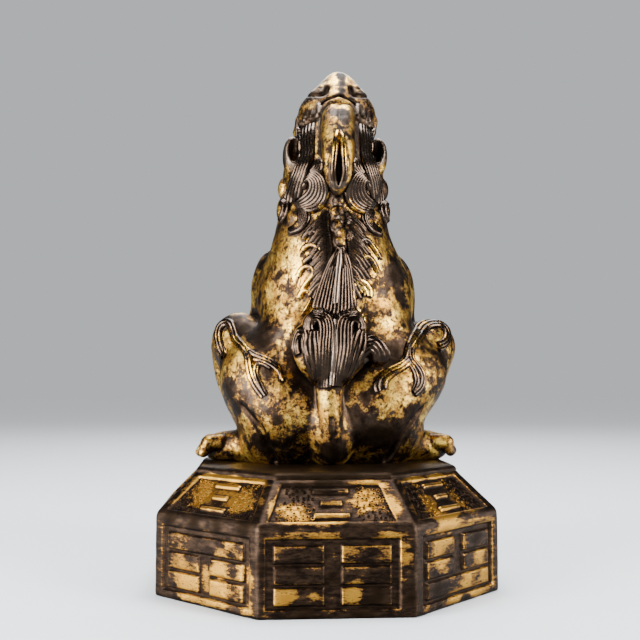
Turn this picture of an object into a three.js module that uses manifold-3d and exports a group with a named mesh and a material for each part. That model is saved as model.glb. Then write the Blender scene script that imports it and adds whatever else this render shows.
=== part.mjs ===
// A gilt bronze pixiu, a squatting East Asian guardian beast, on an octagonal trigram plinth.
// Millimetres, +Z up. The origin is the centre of the plinth's underside. The beast faces +Y, so
// its back and tail look towards -Y, and +X is on its right.
import * as THREE from 'three';
import Module from 'manifold-3d';

const wasm = await Module();
wasm.setup();

// Driving dimensions of the plinth
const PLINTH_RADIUS = 50; // from the centre to a corner of the foot
const TOP_RADIUS = 37; // from the centre to a corner of the standing face
const WALL_HEIGHT = 21.6; // upright faces
const SLOPE_HEIGHT = 12; // sloping faces
const CORNER_WEAR = 1.3; // width of the rubbed corners and edges
const RIM_HEIGHT = 1.9; // rounded rim round the standing face
const PLINTH_HEIGHT = WALL_HEIGHT + SLOPE_HEIGHT;

// Driving dimensions of the trigram panels on the upright faces
const PANEL_DEPTH = 0.9;
const PANEL_SIDE_MARGIN = 2.9;
const PANEL_TOP_MARGIN = 2.8;
const PANEL_FOOT_MARGIN = 2.3;
const BAR_GAP = 0.9; // between one bar and the next
const BAR_FOOT_INSET = 0.9; // below the bars
const BAR_TOP_INSET = 1.6; // above the bars
const BAR_END_INSET = 2.1; // past the bars' ends
const BAR_BREAK = 4.3; // the break in a broken bar

// Driving dimensions of the panels on the sloping faces
const SLOPE_PANEL_DEPTH = 0.8;
const SLOPE_PANEL_SIDE_MARGIN = 3.0;
const SLOPE_PANEL_FOOT_MARGIN = 1.9;
const SLOPE_PANEL_TOP_MARGIN = 1.2;
const STROKE_WIDTH = 1.2;
const STROKE_ROWS = 3; // rows of plain strokes in place of an inscription
const STROKE_BLOCK = 0.36; // share of the panel's width that the strokes fill

// Driving dimensions of the beast. Its shape is drawn in units that are scaled to its height.
const FIGURE_HEIGHT = 117.1;
const HEAD_PITCH = 65; // degrees that the face looks up
const TRIANGLE_BUDGET = 8000;
const SAMPLE_STEP = 1.15; // in shape units

// The upright faces' trigrams, bottom line first, counted round from the face under the tail. 1 is whole.
const TRIGRAMS = [
  [0, 0, 0],
  [1, 0, 0],
  [1, 0, 1],
  [1, 1, 0],
  [1, 1, 1],
  [0, 1, 1],
  [0, 1, 0],
  [0, 0, 1],
];
const SIDES = TRIGRAMS.length;
const HALF_SIDE = Math.PI / SIDES;

const BRONZE_GILT = new THREE.MeshStandardMaterial({ color: 0xa8802f, metalness: 0.9, roughness: 0.38 });
const BRONZE_DARK = new THREE.MeshStandardMaterial({ color: 0x6d5427, metalness: 0.85, roughness: 0.45 });

// Solids

// Turns a closed triangle list into a solid.
function solidFrom(positions, indices) {
  const mesh = new wasm.Mesh({
    numProp: 3,
    vertProperties: Float32Array.from(positions),
    triVerts: Uint32Array.from(indices),
  });
  return new wasm.Manifold(mesh);
}

function geometryFrom(solid) {
  const mesh = solid.getMesh();
  const geometry = new THREE.BufferGeometry();
  geometry.setAttribute('position', new THREE.BufferAttribute(Float32Array.from(mesh.vertProperties), 3));
  geometry.setIndex(new THREE.BufferAttribute(Uint32Array.from(mesh.triVerts), 1));
  geometry.computeVertexNormals();
  return geometry;
}

// A solid with the given rings of points, each ring [x, y, z] points in the same order, from low to high.
function solidFromRings(rings) {
  const count = rings[0].length;
  const positions = rings.flat(2);
  const indices = [];
  for (let level = 0; level + 1 < rings.length; level++) {
    for (let i = 0; i < count; i++) {
      const next = (i + 1) % count;
      const low = level * count;
      const high = low + count;
      indices.push(low + i, low + next, high + next, low + i, high + next, high + i);
    }
  }
  const top = (rings.length - 1) * count;
  for (let i = 1; i + 1 < count; i++) {
    indices.push(0, i + 1, i, top, top + i, top + i + 1);
  }
  return solidFrom(positions, indices);
}

// A prism that cuts into or stands on a face: the outline is in the face's own u and v, the
// matrix takes u, v and the outward depth to the part, and the prism runs from low to high depth.
function facePrism(outline, low, high, matrix) {
  const at = (u, v, depth) => new THREE.Vector3(u, v, depth).applyMatrix4(matrix).toArray();
  const ring = (depth) => outline.map(([u, v]) => at(u, v, depth));
  return solidFromRings([ring(low), ring(high)]);
}

function rectangle(left, right, bottom, top) {
  return [[left, bottom], [right, bottom], [right, top], [left, top]];
}

// Plinth

// One ring of the octagon with its corners rubbed off, at a corner radius and a height.
function octagonRing(radius, z) {
  const ring = [];
  const cut = CORNER_WEAR / 2;
  for (let side = 0; side < SIDES; side++) {
    const corner = (2 * side + 1) * HALF_SIDE - Math.PI / 2;
    for (const turn of [-1, 1]) {
      const along = corner + turn * (Math.PI / 2 + HALF_SIDE);
      ring.push([
        radius * Math.cos(corner) + cut * Math.cos(along),
        radius * Math.sin(corner) + cut * Math.sin(along),
        z,
      ]);
    }
  }
  return ring;
}

function plinthBlank() {
  const slope = (PLINTH_RADIUS - TOP_RADIUS) / SLOPE_HEIGHT;
  const wear = CORNER_WEAR / 2;
  const rimFoot = PLINTH_HEIGHT - RIM_HEIGHT;
  return solidFromRings([
    octagonRing(PLINTH_RADIUS - wear / 2, 0),
    octagonRing(PLINTH_RADIUS, wear),
    octagonRing(PLINTH_RADIUS, WALL_HEIGHT - wear),
    octagonRing(PLINTH_RADIUS - wear * slope, WALL_HEIGHT + wear),
    octagonRing(TOP_RADIUS + RIM_HEIGHT * slope, rimFoot),
    octagonRing(TOP_RADIUS + wear, PLINTH_HEIGHT - wear),
    octagonRing(TOP_RADIUS, PLINTH_HEIGHT),
  ]);
}

// The frame of an upright face: u along it, v up from the floor, depth outwards.
function wallFrame(side) {
  const apothem = PLINTH_RADIUS * Math.cos(HALF_SIDE);
  const facing = 2 * side * HALF_SIDE;
  return new THREE.Matrix4()
    .makeRotationZ(facing)
    .multiply(new THREE.Matrix4().makeTranslation(0, -apothem, 0))
    .multiply(new THREE.Matrix4().makeRotationX(Math.PI / 2));
}

// The frame of a sloping face: u along it, v up the slope from the upright face's top.
function slopeFrame(side) {
  const fall = (PLINTH_RADIUS - TOP_RADIUS) * Math.cos(HALF_SIDE);
  const lean = Math.atan2(fall, SLOPE_HEIGHT);
  return wallFrame(side)
    .multiply(new THREE.Matrix4().makeTranslation(0, WALL_HEIGHT, 0))
    .multiply(new THREE.Matrix4().makeRotationX(-lean));
}

// The bars of one trigram, as outlines in the panel of the given half width.
function trigramBars(lines, half) {
  const bottom = PANEL_FOOT_MARGIN + BAR_FOOT_INSET;
  const top = WALL_HEIGHT - PANEL_TOP_MARGIN - BAR_TOP_INSET;
  const pitch = (top - bottom + BAR_GAP) / lines.length;
  const reach = half - BAR_END_INSET;
  return lines.flatMap((whole, row) => {
    const low = bottom + row * pitch;
    const high = low + pitch - BAR_GAP;
    if (whole) return [rectangle(-reach, reach, low, high)];
    return [rectangle(-reach, -BAR_BREAK / 2, low, high), rectangle(BAR_BREAK / 2, reach, low, high)];
  });
}

function trigramPanel(side) {
  const half = PLINTH_RADIUS * Math.sin(HALF_SIDE) - PANEL_SIDE_MARGIN;
  const frame = wallFrame(side);
  const outline = rectangle(-half, half, PANEL_FOOT_MARGIN, WALL_HEIGHT - PANEL_TOP_MARGIN);
  let recess = facePrism(outline, -PANEL_DEPTH, PANEL_DEPTH, frame);
  for (const bar of trigramBars(TRIGRAMS[side], half)) {
    recess = recess.subtract(facePrism(bar, -2 * PANEL_DEPTH, 2 * PANEL_DEPTH, frame));
  }
  return recess;
}

// Rows of plain strokes, every other one shorter.
function plainStrokes(half, bottom, top) {
  const reach = half * STROKE_BLOCK;
  const pitch = (top - bottom) / STROKE_ROWS;
  const strokes = [];
  for (let row = 0; row < STROKE_ROWS; row++) {
    const middle = bottom + (row + 0.5) * pitch;
    const length = row % 2 ? reach * 0.6 : reach;
    strokes.push(rectangle(-length, length, middle - STROKE_WIDTH / 2, middle + STROKE_WIDTH / 2));
  }
  return strokes;
}

function slopePanel(side) {
  const fall = (PLINTH_RADIUS - TOP_RADIUS) * Math.cos(HALF_SIDE);
  const slant = Math.hypot(fall, SLOPE_HEIGHT);
  const low = SLOPE_PANEL_FOOT_MARGIN;
  const high = slant * (1 - RIM_HEIGHT / SLOPE_HEIGHT) - SLOPE_PANEL_TOP_MARGIN;
  const halfAt = (v) => {
    const radius = PLINTH_RADIUS + (TOP_RADIUS - PLINTH_RADIUS) * (v / slant);
    return radius * Math.sin(HALF_SIDE) - SLOPE_PANEL_SIDE_MARGIN;
  };
  const outline = [[-halfAt(low), low], [halfAt(low), low], [halfAt(high), high], [-halfAt(high), high]];
  const frame = slopeFrame(side);
  let recess = facePrism(outline, -SLOPE_PANEL_DEPTH, SLOPE_PANEL_DEPTH, frame);
  for (const stroke of plainStrokes(halfAt(high), low, high)) {
    recess = recess.subtract(facePrism(stroke, -2 * SLOPE_PANEL_DEPTH, 2 * SLOPE_PANEL_DEPTH, frame));
  }
  return recess;
}

function plinth() {
  let solid = plinthBlank();
  for (let side = 0; side < SIDES; side++) {
    solid = solid.subtract(trigramPanel(side)).subtract(slopePanel(side));
  }
  return solid;
}

// The beast's form, as distances sampled on a grid over its right half, which is then mirrored

const REACH = { x: 42, back: -32, front: 37, low: -2.5, high: 120 };

class Form {
  // The left is how many grid steps the form reaches to the left of its middle.
  constructor(step, left = 0) {
    this.step = step;
    this.left = left;
    this.start = [-left * step, REACH.back, REACH.low];
    this.size = [
      left + Math.ceil(REACH.x / step) + 1,
      Math.ceil((REACH.front - REACH.back) / step) + 1,
      Math.ceil((REACH.high - REACH.low) / step) + 1,
    ];
    this.values = new Float32Array(this.size[0] * this.size[1] * this.size[2]).fill(REACH.high);
  }

  index(i, j, k) {
    return (k * this.size[1] + j) * this.size[0] + i;
  }

  // Changes the sampled distances near a shape: merge takes the old value and the shape's.
  stamp(low, high, distance, merge) {
    const from = low.map((v, a) => Math.max(0, Math.floor((v - this.start[a]) / this.step)));
    const to = high.map((v, a) => Math.min(this.size[a] - 1, Math.ceil((v - this.start[a]) / this.step)));
    for (let k = from[2]; k <= to[2]; k++) {
      const z = this.start[2] + k * this.step;
      for (let j = from[1]; j <= to[1]; j++) {
        const y = this.start[1] + j * this.step;
        for (let i = from[0]; i <= to[0]; i++) {
          const n = this.index(i, j, k);
          const x = this.start[0] + i * this.step;
          this.values[n] = merge(this.values[n], distance(x, y, z));
        }
      }
    }
  }

  // The distance at any point, from the samples round it.
  at(x, y, z) {
    const across = this.left ? x - this.start[0] : Math.abs(x);
    const p = [across, y - this.start[1], z - this.start[2]].map((v) => v / this.step);
    const c = p.map((v, a) => Math.min(this.size[a] - 2, Math.max(0, Math.floor(v))));
    const t = p.map((v, a) => v - c[a]);
    let sum = 0;
    for (let corner = 0; corner < 8; corner++) {
      const bit = [corner & 1, (corner >> 1) & 1, corner >> 2];
      const weight = bit.reduce((w, b, a) => w * (b ? t[a] : 1 - t[a]), 1);
      sum += weight * this.values[this.index(c[0] + bit[0], c[1] + bit[1], c[2] + bit[2])];
    }
    return sum;
  }

  // The form with a left side, the mirror image of its right one.
  withLeftSide() {
    const left = this.size[0] - 1;
    const whole = new Form(this.step, left);
    for (let k = 0; k < whole.size[2]; k++) {
      for (let j = 0; j < whole.size[1]; j++) {
        for (let i = 0; i < whole.size[0]; i++) {
          whole.values[whole.index(i, j, k)] = this.values[this.index(Math.abs(i - left), j, k)];
        }
      }
    }
    return whole;
  }
}

const smoothUnion = (blend) => (a, b) => {
  if (blend <= 0) return Math.min(a, b);
  const h = Math.max(blend - Math.abs(a - b), 0) / blend;
  return Math.min(a, b) - (h * h * blend) / 4;
};
const smoothCut = (blend) => (a, b) => -smoothUnion(blend)(-a, b);

const MARGIN = 2.5; // how far past a shape its distances are sampled

function place(x, y, z, tiltX = 0, tiltY = 0, tiltZ = 0) {
  const turn = new THREE.Euler(...[tiltX, tiltY, tiltZ].map(THREE.MathUtils.degToRad));
  return new THREE.Matrix4().makeRotationFromEuler(turn).setPosition(x, y, z);
}

// Calls use with the box and the distance of an ellipsoid with the given frame and radii.
function ellipsoid(matrix, radii, blend, use) {
  const e = matrix.clone().invert().elements;
  const centre = new THREE.Vector3().setFromMatrixPosition(matrix).toArray();
  const m = matrix.elements;
  const half = [0, 1, 2].map((row) => Math.hypot(...radii.map((r, column) => r * m[column * 4 + row])));
  const low = centre.map((c, a) => c - half[a] - MARGIN - blend);
  const high = centre.map((c, a) => c + half[a] + MARGIN + blend);
  const [ra, rb, rc] = radii;
  use(low, high, (x, y, z) => {
    const a = e[0] * x + e[4] * y + e[8] * z + e[12];
    const b = e[1] * x + e[5] * y + e[9] * z + e[13];
    const c = e[2] * x + e[6] * y + e[10] * z + e[14];
    const whole = Math.hypot(a / ra, b / rb, c / rc);
    const slope = Math.hypot(a / (ra * ra), b / (rb * rb), c / (rc * rc));
    return slope < 1e-9 ? -Math.min(ra, rb, rc) : (whole * (whole - 1)) / slope;
  });
}

function blob(form, matrix, radii, blend = 0) {
  ellipsoid(matrix, radii, blend, (low, high, d) => form.stamp(low, high, d, smoothUnion(blend)));
}

function bite(form, matrix, radii, blend = 0) {
  ellipsoid(matrix, radii, blend, (low, high, d) => form.stamp(low, high, d, smoothCut(blend)));
}

// A limb, lock or ridge: round sections [x, y, z, radius] joined by straight tapers.
function limb(form, sections, blend = 0, matrix = new THREE.Matrix4(), cuts = false) {
  const moved = (x, y, z) => new THREE.Vector3(x, y, z).applyMatrix4(matrix).toArray();
  const points = sections.map(([x, y, z, r]) => [...moved(x, y, z), r]);
  for (let s = 0; s + 1 < points.length; s++) {
    const [ax, ay, az, ar] = points[s];
    const [bx, by, bz, br] = points[s + 1];
    const d = [bx - ax, by - ay, bz - az];
    const length2 = d[0] * d[0] + d[1] * d[1] + d[2] * d[2] || 1e-9;
    const pad = MARGIN + blend;
    const low = [0, 1, 2].map((a) => Math.min(points[s][a] - ar, points[s + 1][a] - br) - pad);
    const high = [0, 1, 2].map((a) => Math.max(points[s][a] + ar, points[s + 1][a] + br) + pad);
    const distance = (x, y, z) => {
      const px = x - ax;
      const py = y - ay;
      const pz = z - az;
      const t = Math.min(1, Math.max(0, (px * d[0] + py * d[1] + pz * d[2]) / length2));
      return Math.hypot(px - t * d[0], py - t * d[1], pz - t * d[2]) - (ar + t * (br - ar));
    };
    form.stamp(low, high, distance, cuts ? smoothCut(blend) : smoothUnion(blend));
  }
}

// Smooth sections through the given ones.
function eased(sections, steps = 4) {
  const through = sections.map(([x, y, z]) => new THREE.Vector3(x, y, z));
  const curve = new THREE.CatmullRomCurve3(through, false, 'centripetal');
  const last = sections.length - 1;
  const made = [];
  for (let i = 0; i <= last * steps; i++) {
    const t = i / (last * steps);
    const section = Math.min(last - 1, Math.floor(t * last));
    const share = t * last - section;
    const radius = sections[section][3] * (1 - share) + sections[section + 1][3] * share;
    made.push([...curve.getPoint(t).toArray(), radius]);
  }
  return made;
}

// The depth at which the form is met from straight behind.
function backDepth(form, x, z) {
  let y = REACH.back;
  while (form.at(x, y, z) > 0.05 && y < 0) y += Math.min(0.5, Math.max(0.05, 0.7 * form.at(x, y, z)));
  return y;
}

// Ridges drawn on the back as seen from behind, [x, z, radius], and sunk a share of their radius into it.
function onBack(form, drawn, sink = 0.3) {
  return drawn.map(([x, z, radius]) => [x, backDepth(form, x, z) + sink * radius, z, radius]);
}

// A frame on the form's back: x across, y up and z straight out of the surface.
function backFrame(form, x, z) {
  const y = backDepth(form, x, z);
  const span = 1.5;
  const slope = (a, b) => form.at(...a) - form.at(...b);
  const out = new THREE.Vector3(
    slope([x + span, y, z], [x - span, y, z]),
    slope([x, y + span, z], [x, y - span, z]),
    slope([x, y, z + span], [x, y, z - span]),
  ).normalize();
  const across = new THREE.Vector3(0, 0, 1).cross(out).normalize();
  const up = out.clone().cross(across);
  return new THREE.Matrix4().makeBasis(across, up, out).setPosition(x, y, z);
}

// The parts of the beast, in shape units from the centre of the standing face

function torso(form) {
  blob(form, place(0, 1, 46), [23, 18.5, 23.5]);
  blob(form, place(0, -4, 18.5), [20, 15.6, 20.5], 7);
  blob(form, place(0, 9, 42), [16, 13.5, 20], 6);
  blob(form, place(0, 9, 15), [13.5, 13, 18], 5);
  limb(form, eased([[0, -1, 55, 16.4], [0, 0.5, 66, 12.8], [0, 1.5, 76, 11.6], [0, 2, 85, 11]]), 6);
  blob(form, place(17, 7, 49), [7.8, 10, 13.5], 1.6);
  blob(form, place(13, -4, 6.5), [12.5, 10.5, 9.5], 4);
}

function haunches(form) {
  const rump = [[11.6, -8, 14, 11.4], [17.2, -5.6, 22, 10.6], [21, -3, 27, 9.6]];
  const thigh = [[17.6, -5.6, 22, 10.4], [24, -1, 30, 8.8], [28.2, 3, 35.2, 7.9]];
  const shin = [[30.6, 6.6, 33.4, 5.9], [28.8, 6, 23, 4.7], [23.6, 3.4, 13, 3.6], [22.2, 1.6, 5.6, 4]];
  limb(form, eased(rump), 6);
  limb(form, eased(thigh), 1.4);
  limb(form, eased(shin), 0.8);
  blob(form, place(9.5, -7.4, 34), [11, 10.6, 14], 5);
}

const TOES = 4;

function hindFoot(form) {
  const sole = [[17.4, -5, 2.6, 3.4], [22, -1.6, 4.4, 4.4], [28.5, 1, 4.3, 4], [32.3, 2.4, 3.8, 3.7]];
  limb(form, eased(sole), 1);
  for (let toe = 0; toe < TOES; toe++) {
    const spread = toe - (TOES - 1) / 2;
    const y = 2.4 + 2.9 * spread;
    const reach = 36.9 - 0.5 * spread * spread;
    limb(form, [[31, y * 0.8, 5.4, 2.2], [34.6, y, 5.2, 2.1], [reach, y * 1.1, 2.6, 1.5]], 0.4);
  }
}

// The crease between the calf and the rump, drawn as seen from behind.
const CALF_CREASE = [
  [25.6, 16.4, 0.4],
  [24, 14.4, 0.8],
  [21.7, 11.8, 1],
  [19.6, 8.8, 1.1],
  [18, 5.4, 1.2],
  [15.6, 0.6, 1.2],
];

function calfCrease(form) {
  limb(form, eased(onBack(form, CALF_CREASE, -0.2)), 0.6, new THREE.Matrix4(), true);
}

function foreleg(form) {
  const upper = [[17, 11, 42, 8.4], [18, 14.5, 30, 6.4], [15.5, 18.5, 19, 5.1]];
  limb(form, eased([...upper, [12, 22.5, 9, 4.4], [11.2, 24, 5, 4.6]]), 2);
  blob(form, place(11, 25.5, 3.4), [5.3, 5, 3.8], 1.2);
  for (let toe = 0; toe < TOES; toe++) {
    const spread = toe - (TOES - 1) / 2;
    const x = 11 + 2.7 * spread;
    const reach = 30.6 - 0.5 * spread * spread;
    limb(form, [[x, 26, 4.6, 1.9], [x * 1.01, reach - 2.2, 4.2, 1.8], [x * 1.02, reach, 2, 1.3]], 0.4);
  }
}

// The head is shaped in its own frame: x across, y towards the nose, z to the crown.
const HEAD = place(0, -2, 90, HEAD_PITCH);
const onHead = (x, y, z, ...tilts) => HEAD.clone().multiply(place(x, y, z, ...tilts));

function skull(form) {
  blob(form, onHead(0, -1, 0), [11.8, 14, 11.3], 3);
  blob(form, onHead(0, -11, 2), [12, 9, 9], 3);
  blob(form, onHead(8, -4, -4), [6.6, 12, 8], 2);
  blob(form, onHead(0, 8, 3.6), [11, 6, 6.2], 2);
  blob(form, onHead(0, 14.2, 0.5), [10.6, 7.6, 6.4], 1.5);
  blob(form, onHead(6.4, 16, -2.2), [4.6, 5, 4.4], 1);
}

// The snout's bridge and the pointed nose, whose wings flare over hooked nostrils.
function nose(form) {
  const bridge = [[0, 8, 5.4, 5.2], [0, 16.5, 4.7, 4.6], [0, 21.5, 3.9, 4.2], [0, 25.2, 3.2, 3]];
  const cheek = [[7, 11.4, 3.8, 4.2], [4.6, 15.6, 4, 3.8], [2.7, 19, 4, 3.1], [0.9, 23, 3.4, 2.9]];
  limb(form, eased(bridge), 1.2, HEAD);
  limb(form, eased(cheek), 2.4, HEAD);
  blob(form, onHead(4.9, 18.6, 6.5), [1.7, 1.8, 2.3], 0.3);
  const inner = [[3.5, 18.4, 8.6, 0.5], [3.6, 16.8, 8.8, 0.7], [4.6, 15.2, 8.8, 0.9]];
  const outer = [[6.5, 15.2, 8.5, 1], [8.3, 16.2, 7.2, 0.9], [9.6, 17.2, 4.4, 0.8]];
  limb(form, eased([...inner, ...outer]), 0.2, HEAD, true);
}

function jaws(form) {
  limb(form, eased([[0, 1, -8.5, 8.8], [0, 8, -11.4, 7], [0, 14.6, -12.8, 4.6]]), 3, HEAD);
  bite(form, onHead(0, 15.5, -6.6, -12), [6.6, 11, 3.2], 0.6);
  const tongue = [[0, 6, -9.4, 3], [0, 12, -9.6, 2.7], [0, 17, -7.2, 1.6]];
  const lip = [[7.4, 6, -7.6, 1.1], [6.2, 13, -10, 1.1], [3, 17.6, -10.8, 1.1], [0, 18.6, -11, 1.1]];
  limb(form, eased(tongue), 0.4, HEAD);
  limb(form, eased(lip), 0.4, HEAD);
  limb(form, [[4.9, 20, -3.6, 1.4], [4.9, 19.4, -7.6, 0.5]], 0.3, HEAD);
  limb(form, [[4.3, 15.6, -10.2, 1.4], [4.5, 15.8, -6.6, 0.5]], 0.3, HEAD);
}

// Each brow is a row of hanging locks.
const BROW_LOCKS = [[5.6, 10.8, 8], [7.4, 11, 7.2], [9.2, 10.6, 5.8], [10.2, 9.6, 4.2], [10.8, 7.6, 2.4]];

function eyesAndBrows(form) {
  blob(form, onHead(9.9, 9, 0.2), [2.8, 3.3, 3], 0.3);
  bite(form, onHead(12.5, 9.4, 0.4), [0.9, 1.1, 1.1], 0.1);
  limb(form, eased([[9.8, 12.6, 3.2, 1.1], [11, 9.6, 4, 1.2], [11, 5.4, 3.4, 1]]), 0.3, HEAD);
  for (const [x, y, z] of BROW_LOCKS) {
    limb(form, [[x, y, z, 1.3], [x + 0.2, y - 3.6, z + 0.9, 0.8]], 0.2, HEAD);
  }
}

function ear(form) {
  blob(form, place(12.2, -5.2, 87.8, 0, 4, 0), [3.1, 4, 6.2], 0.8);
  bite(form, place(11.9, -9.6, 89.8, 0, 2, 0), [2.1, 4.6, 4], 0.2);
}

function horn(form) {
  const core = [[1.5, 6, 10.2, 3.1], [1.5, 0, 11.8, 3.2], [1.5, -6, 12.2, 3.1], [1.5, -10.5, 12, 2.9]];
  const tip = [[1.4, -14.4, 11, 2.5], [1, -17, 9.8, 2.1], [0.5, -18.8, 8.8, 1.5], [0, -20, 8, 0.9]];
  const keel = [[0.5, -4.8, 15, 0.6], [1.3, -10, 14.8, 0.9], [1.8, -14, 13.4, 1.1], [1.7, -16.2, 12, 1.1]];
  const slot = [[0, -5.4, 15.4, 0.2], [0, -10, 15, 0.4], [0, -14.4, 13.4, 0.7], [0, -16.8, 11.8, 0.8]];
  const flange = [[4.9, 7, 7.6, 1.2], [5.5, 0, 8.6, 1.2], [5.4, -7, 9, 1.1], [4.4, -13, 8.6, 0.8]];
  limb(form, eased([...core, ...tip]), 0.5, HEAD);
  limb(form, eased([...keel, [1.2, -18, 10.8, 1], [0.7, -19.2, 9.6, 0.8]]), 0.3, HEAD);
  limb(form, eased([...slot, [0, -18.8, 10.2, 0.5]]), 0.2, HEAD, true);
  limb(form, eased(flange), 0.5, HEAD);
  limb(form, eased([[0, 11.6, 9.9, 1.2], [3.4, 10.4, 9, 1.2], [5.2, 7.2, 7.8, 1.2]]), 0.2, HEAD);
  const arch = [[0, 13.2, 10.1, 0.7], [2.2, 12.9, 9.8, 0.7], [4.2, 11.6, 8.7, 0.7], [5.8, 8.8, 7.4, 0.6]];
  limb(form, eased(arch), 0.15, HEAD, true);
}

// Locks at the sides of the mane, each a rounded lobe: [x, y, z, across, deep, tall, lean].
const LOCKS = [
  [14.2, -4.4, 71.6, 2.4, 3.2, 3.8, 10],
  [14.2, -1.4, 79.4, 2.2, 3.2, 3.6, 0],
  [14.3, 3.8, 74.6, 2.2, 3.2, 3.6, 0],
  [13.6, 5.6, 81.4, 2.4, 3.2, 3.6, 0],
  [12.4, 9, 75.2, 2.8, 2.8, 3.6, -10],
];

function mane(form) {
  for (const [x, y, z, across, deep, tall, lean] of LOCKS) {
    blob(form, place(x, y, z, 0, lean, 0), [across, deep, tall], 0.5);
  }
  blob(form, place(7.2, -9.6, 76.2, 0, 12, 24), [4.6, 3.9, 5.8], 0.4);
  blob(form, place(10.6, -8.4, 68.2, 0, 24, 20), [2.7, 3, 4], 0.4);
  blob(form, place(5.9, -12.2, 82.8, 0, 10, 0), [1.8, 2.2, 2.5], 0.3);
  bite(form, backFrame(form, 8.4, 78.1), [0.8, 1.1, 1.6], 0.2);
}

// The beard's locks, from the middle one outwards, against the throat.
const BEARD_LOCKS = [
  [[0, 15.6, 90, 4], [0, 16.6, 82, 3.2], [0.8, 15.6, 75, 2.2], [0, 14.8, 69.5, 0.9]],
  [[5, 13.6, 88, 3.4], [5.6, 15, 81, 2.6], [4.2, 14.4, 75.6, 1.8], [4.8, 13.2, 71.6, 0.9]],
  [[8.6, 10, 86.5, 3], [9.2, 11.6, 80.6, 2.2], [7.8, 12, 76.6, 1.6], [8.6, 11, 73, 0.8]],
];

function beard(form) {
  for (const lock of BEARD_LOCKS) limb(form, eased(lock), 0.5);
}


function tail(form) {
  blob(form, place(0, -12.5, 12), [8.4, 9.4, 13.2], 0.8);
  const stem = [[0, -17.8, 4, 2.8], [0, -20, 9, 2.8], [0, -20.8, 16, 3.1], [0, -21, 22.6, 3.7]];
  const plume = [[1.9, -16.8, 38, 4.6], [1.5, -16.9, 45, 3.9], [0.8, -16.2, 52, 3], [0, -15.4, 59.4, 1.2]];
  const groove = [[0, -23.6, 13, 0.3], [0, -22.9, 7, 0.5], [0, -21, 2, 0.5]];
  limb(form, eased(stem), 0.6);
  limb(form, eased(plume), 0.6);
  blob(form, place(0, -19.6, 31.6), [7.6, 5.2, 9.4], 1);
  limb(form, groove, 0.5, new THREE.Matrix4(), true);
}

// The shapes that differ between left and right

// The tuft rises from the tail as two lobes side by side and curls over at its edges.
const TUFT_LOBES = [
  [[-1.8, -21, 22.4, 2], [-3.2, -22.3, 27, 3], [-4, -22.7, 32, 3.6], [-4.6, -22.2, 38, 4]],
  [[1.8, -21, 22.4, 2], [3.4, -22.3, 27, 3], [4.2, -22.7, 32, 3.6], [4.9, -22.2, 37.9, 3.8]],
  [[-3.6, -20.8, 24, 1.8], [-6.2, -21.3, 28.2, 2.8], [-7.6, -20.8, 32.4, 3.1], [-7.4, -20, 35.6, 2.9]],
  [[4.2, -20.8, 25, 1.8], [7.4, -21.3, 29.6, 2.4], [10, -21, 32.4, 2.6], [11.6, -20.6, 31.4, 2.1]],
];
const TUFT_EYES = [[-4.8, 37.7, 1], [5.4, 38, 1], [9.6, 28.3, 1.3]]; // the curls' hollows: [x, z, size]

function tuft(form) {
  for (const lobe of TUFT_LOBES) limb(form, eased(lobe), 1);
  for (const [x, z, size] of TUFT_EYES) bite(form, backFrame(form, x, z), [size, 1.35 * size, 1.8], 0.25);
}

// The knobs of the backbone between the two falls of hair: [x, z, size].
const SPINE_KNOBS = [
  [0.4, 73.2, 1.7],
  [0.3, 70.2, 1.9],
  [1.7, 68, 1.5],
  [0, 66, 1.7],
  [1.4, 63.6, 1.8],
  [0.2, 61.2, 1.6],
];

function spine(form) {
  for (const [x, z, size] of SPINE_KNOBS) {
    blob(form, backFrame(form, x, z), [size, 1.1 * size, 0.8 * size], 0.4);
  }
}

// Flame scrolls in low relief on the knees and thighs, as [x, z, radius] seen from behind.
const FLAMES = [
  [[-31.8, 29.9, 0.6], [-34, 36.2, 0.9], [-32.2, 39.7, 1], [-30.8, 39.4, 1]],
  [[-30.8, 39.4, 1], [-28.7, 34.4, 1], [-25.2, 30.5, 1], [-23.1, 23.9, 0.9], [-19.7, 18.9, 0.6]],
  [[-25.9, 32.1, 0.8], [-20.5, 28.8, 1], [-16.2, 26, 1], [-12.9, 23.3, 0.6]],
  [[29.3, 35.3, 0.6], [32.5, 38, 0.9], [31.1, 41.6, 1], [26.3, 41.2, 1]],
  [[26.3, 41.2, 1], [22.3, 36.8, 1], [19.5, 31.8, 1], [17.5, 28.2, 1], [14.6, 25, 0.9], [13.3, 21, 0.6]],
  [[19.6, 30, 0.8], [21.7, 27.5, 1], [23.5, 23.8, 0.9], [21.4, 19.8, 0.6]],
];

function flames(form) {
  for (const drawn of FLAMES) {
    const smooth = eased(drawn.map(([x, z, r]) => [x, z, 0, r])).map(([x, z, , r]) => [x, z, r]);
    limb(form, onBack(form, smooth), 0.3);
  }
}

function beastForm(step) {
  const half = new Form(step);
  const trunk = [torso, haunches, hindFoot, calfCrease, foreleg];
  const head = [skull, nose, jaws, eyesAndBrows, ear, horn, beard, mane];
  for (const shape of [...trunk, ...head, tail]) shape(half);
  const whole = half.withLeftSide();
  for (const shape of [tuft, spine, flames]) shape(whole);
  return whole;
}

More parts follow.
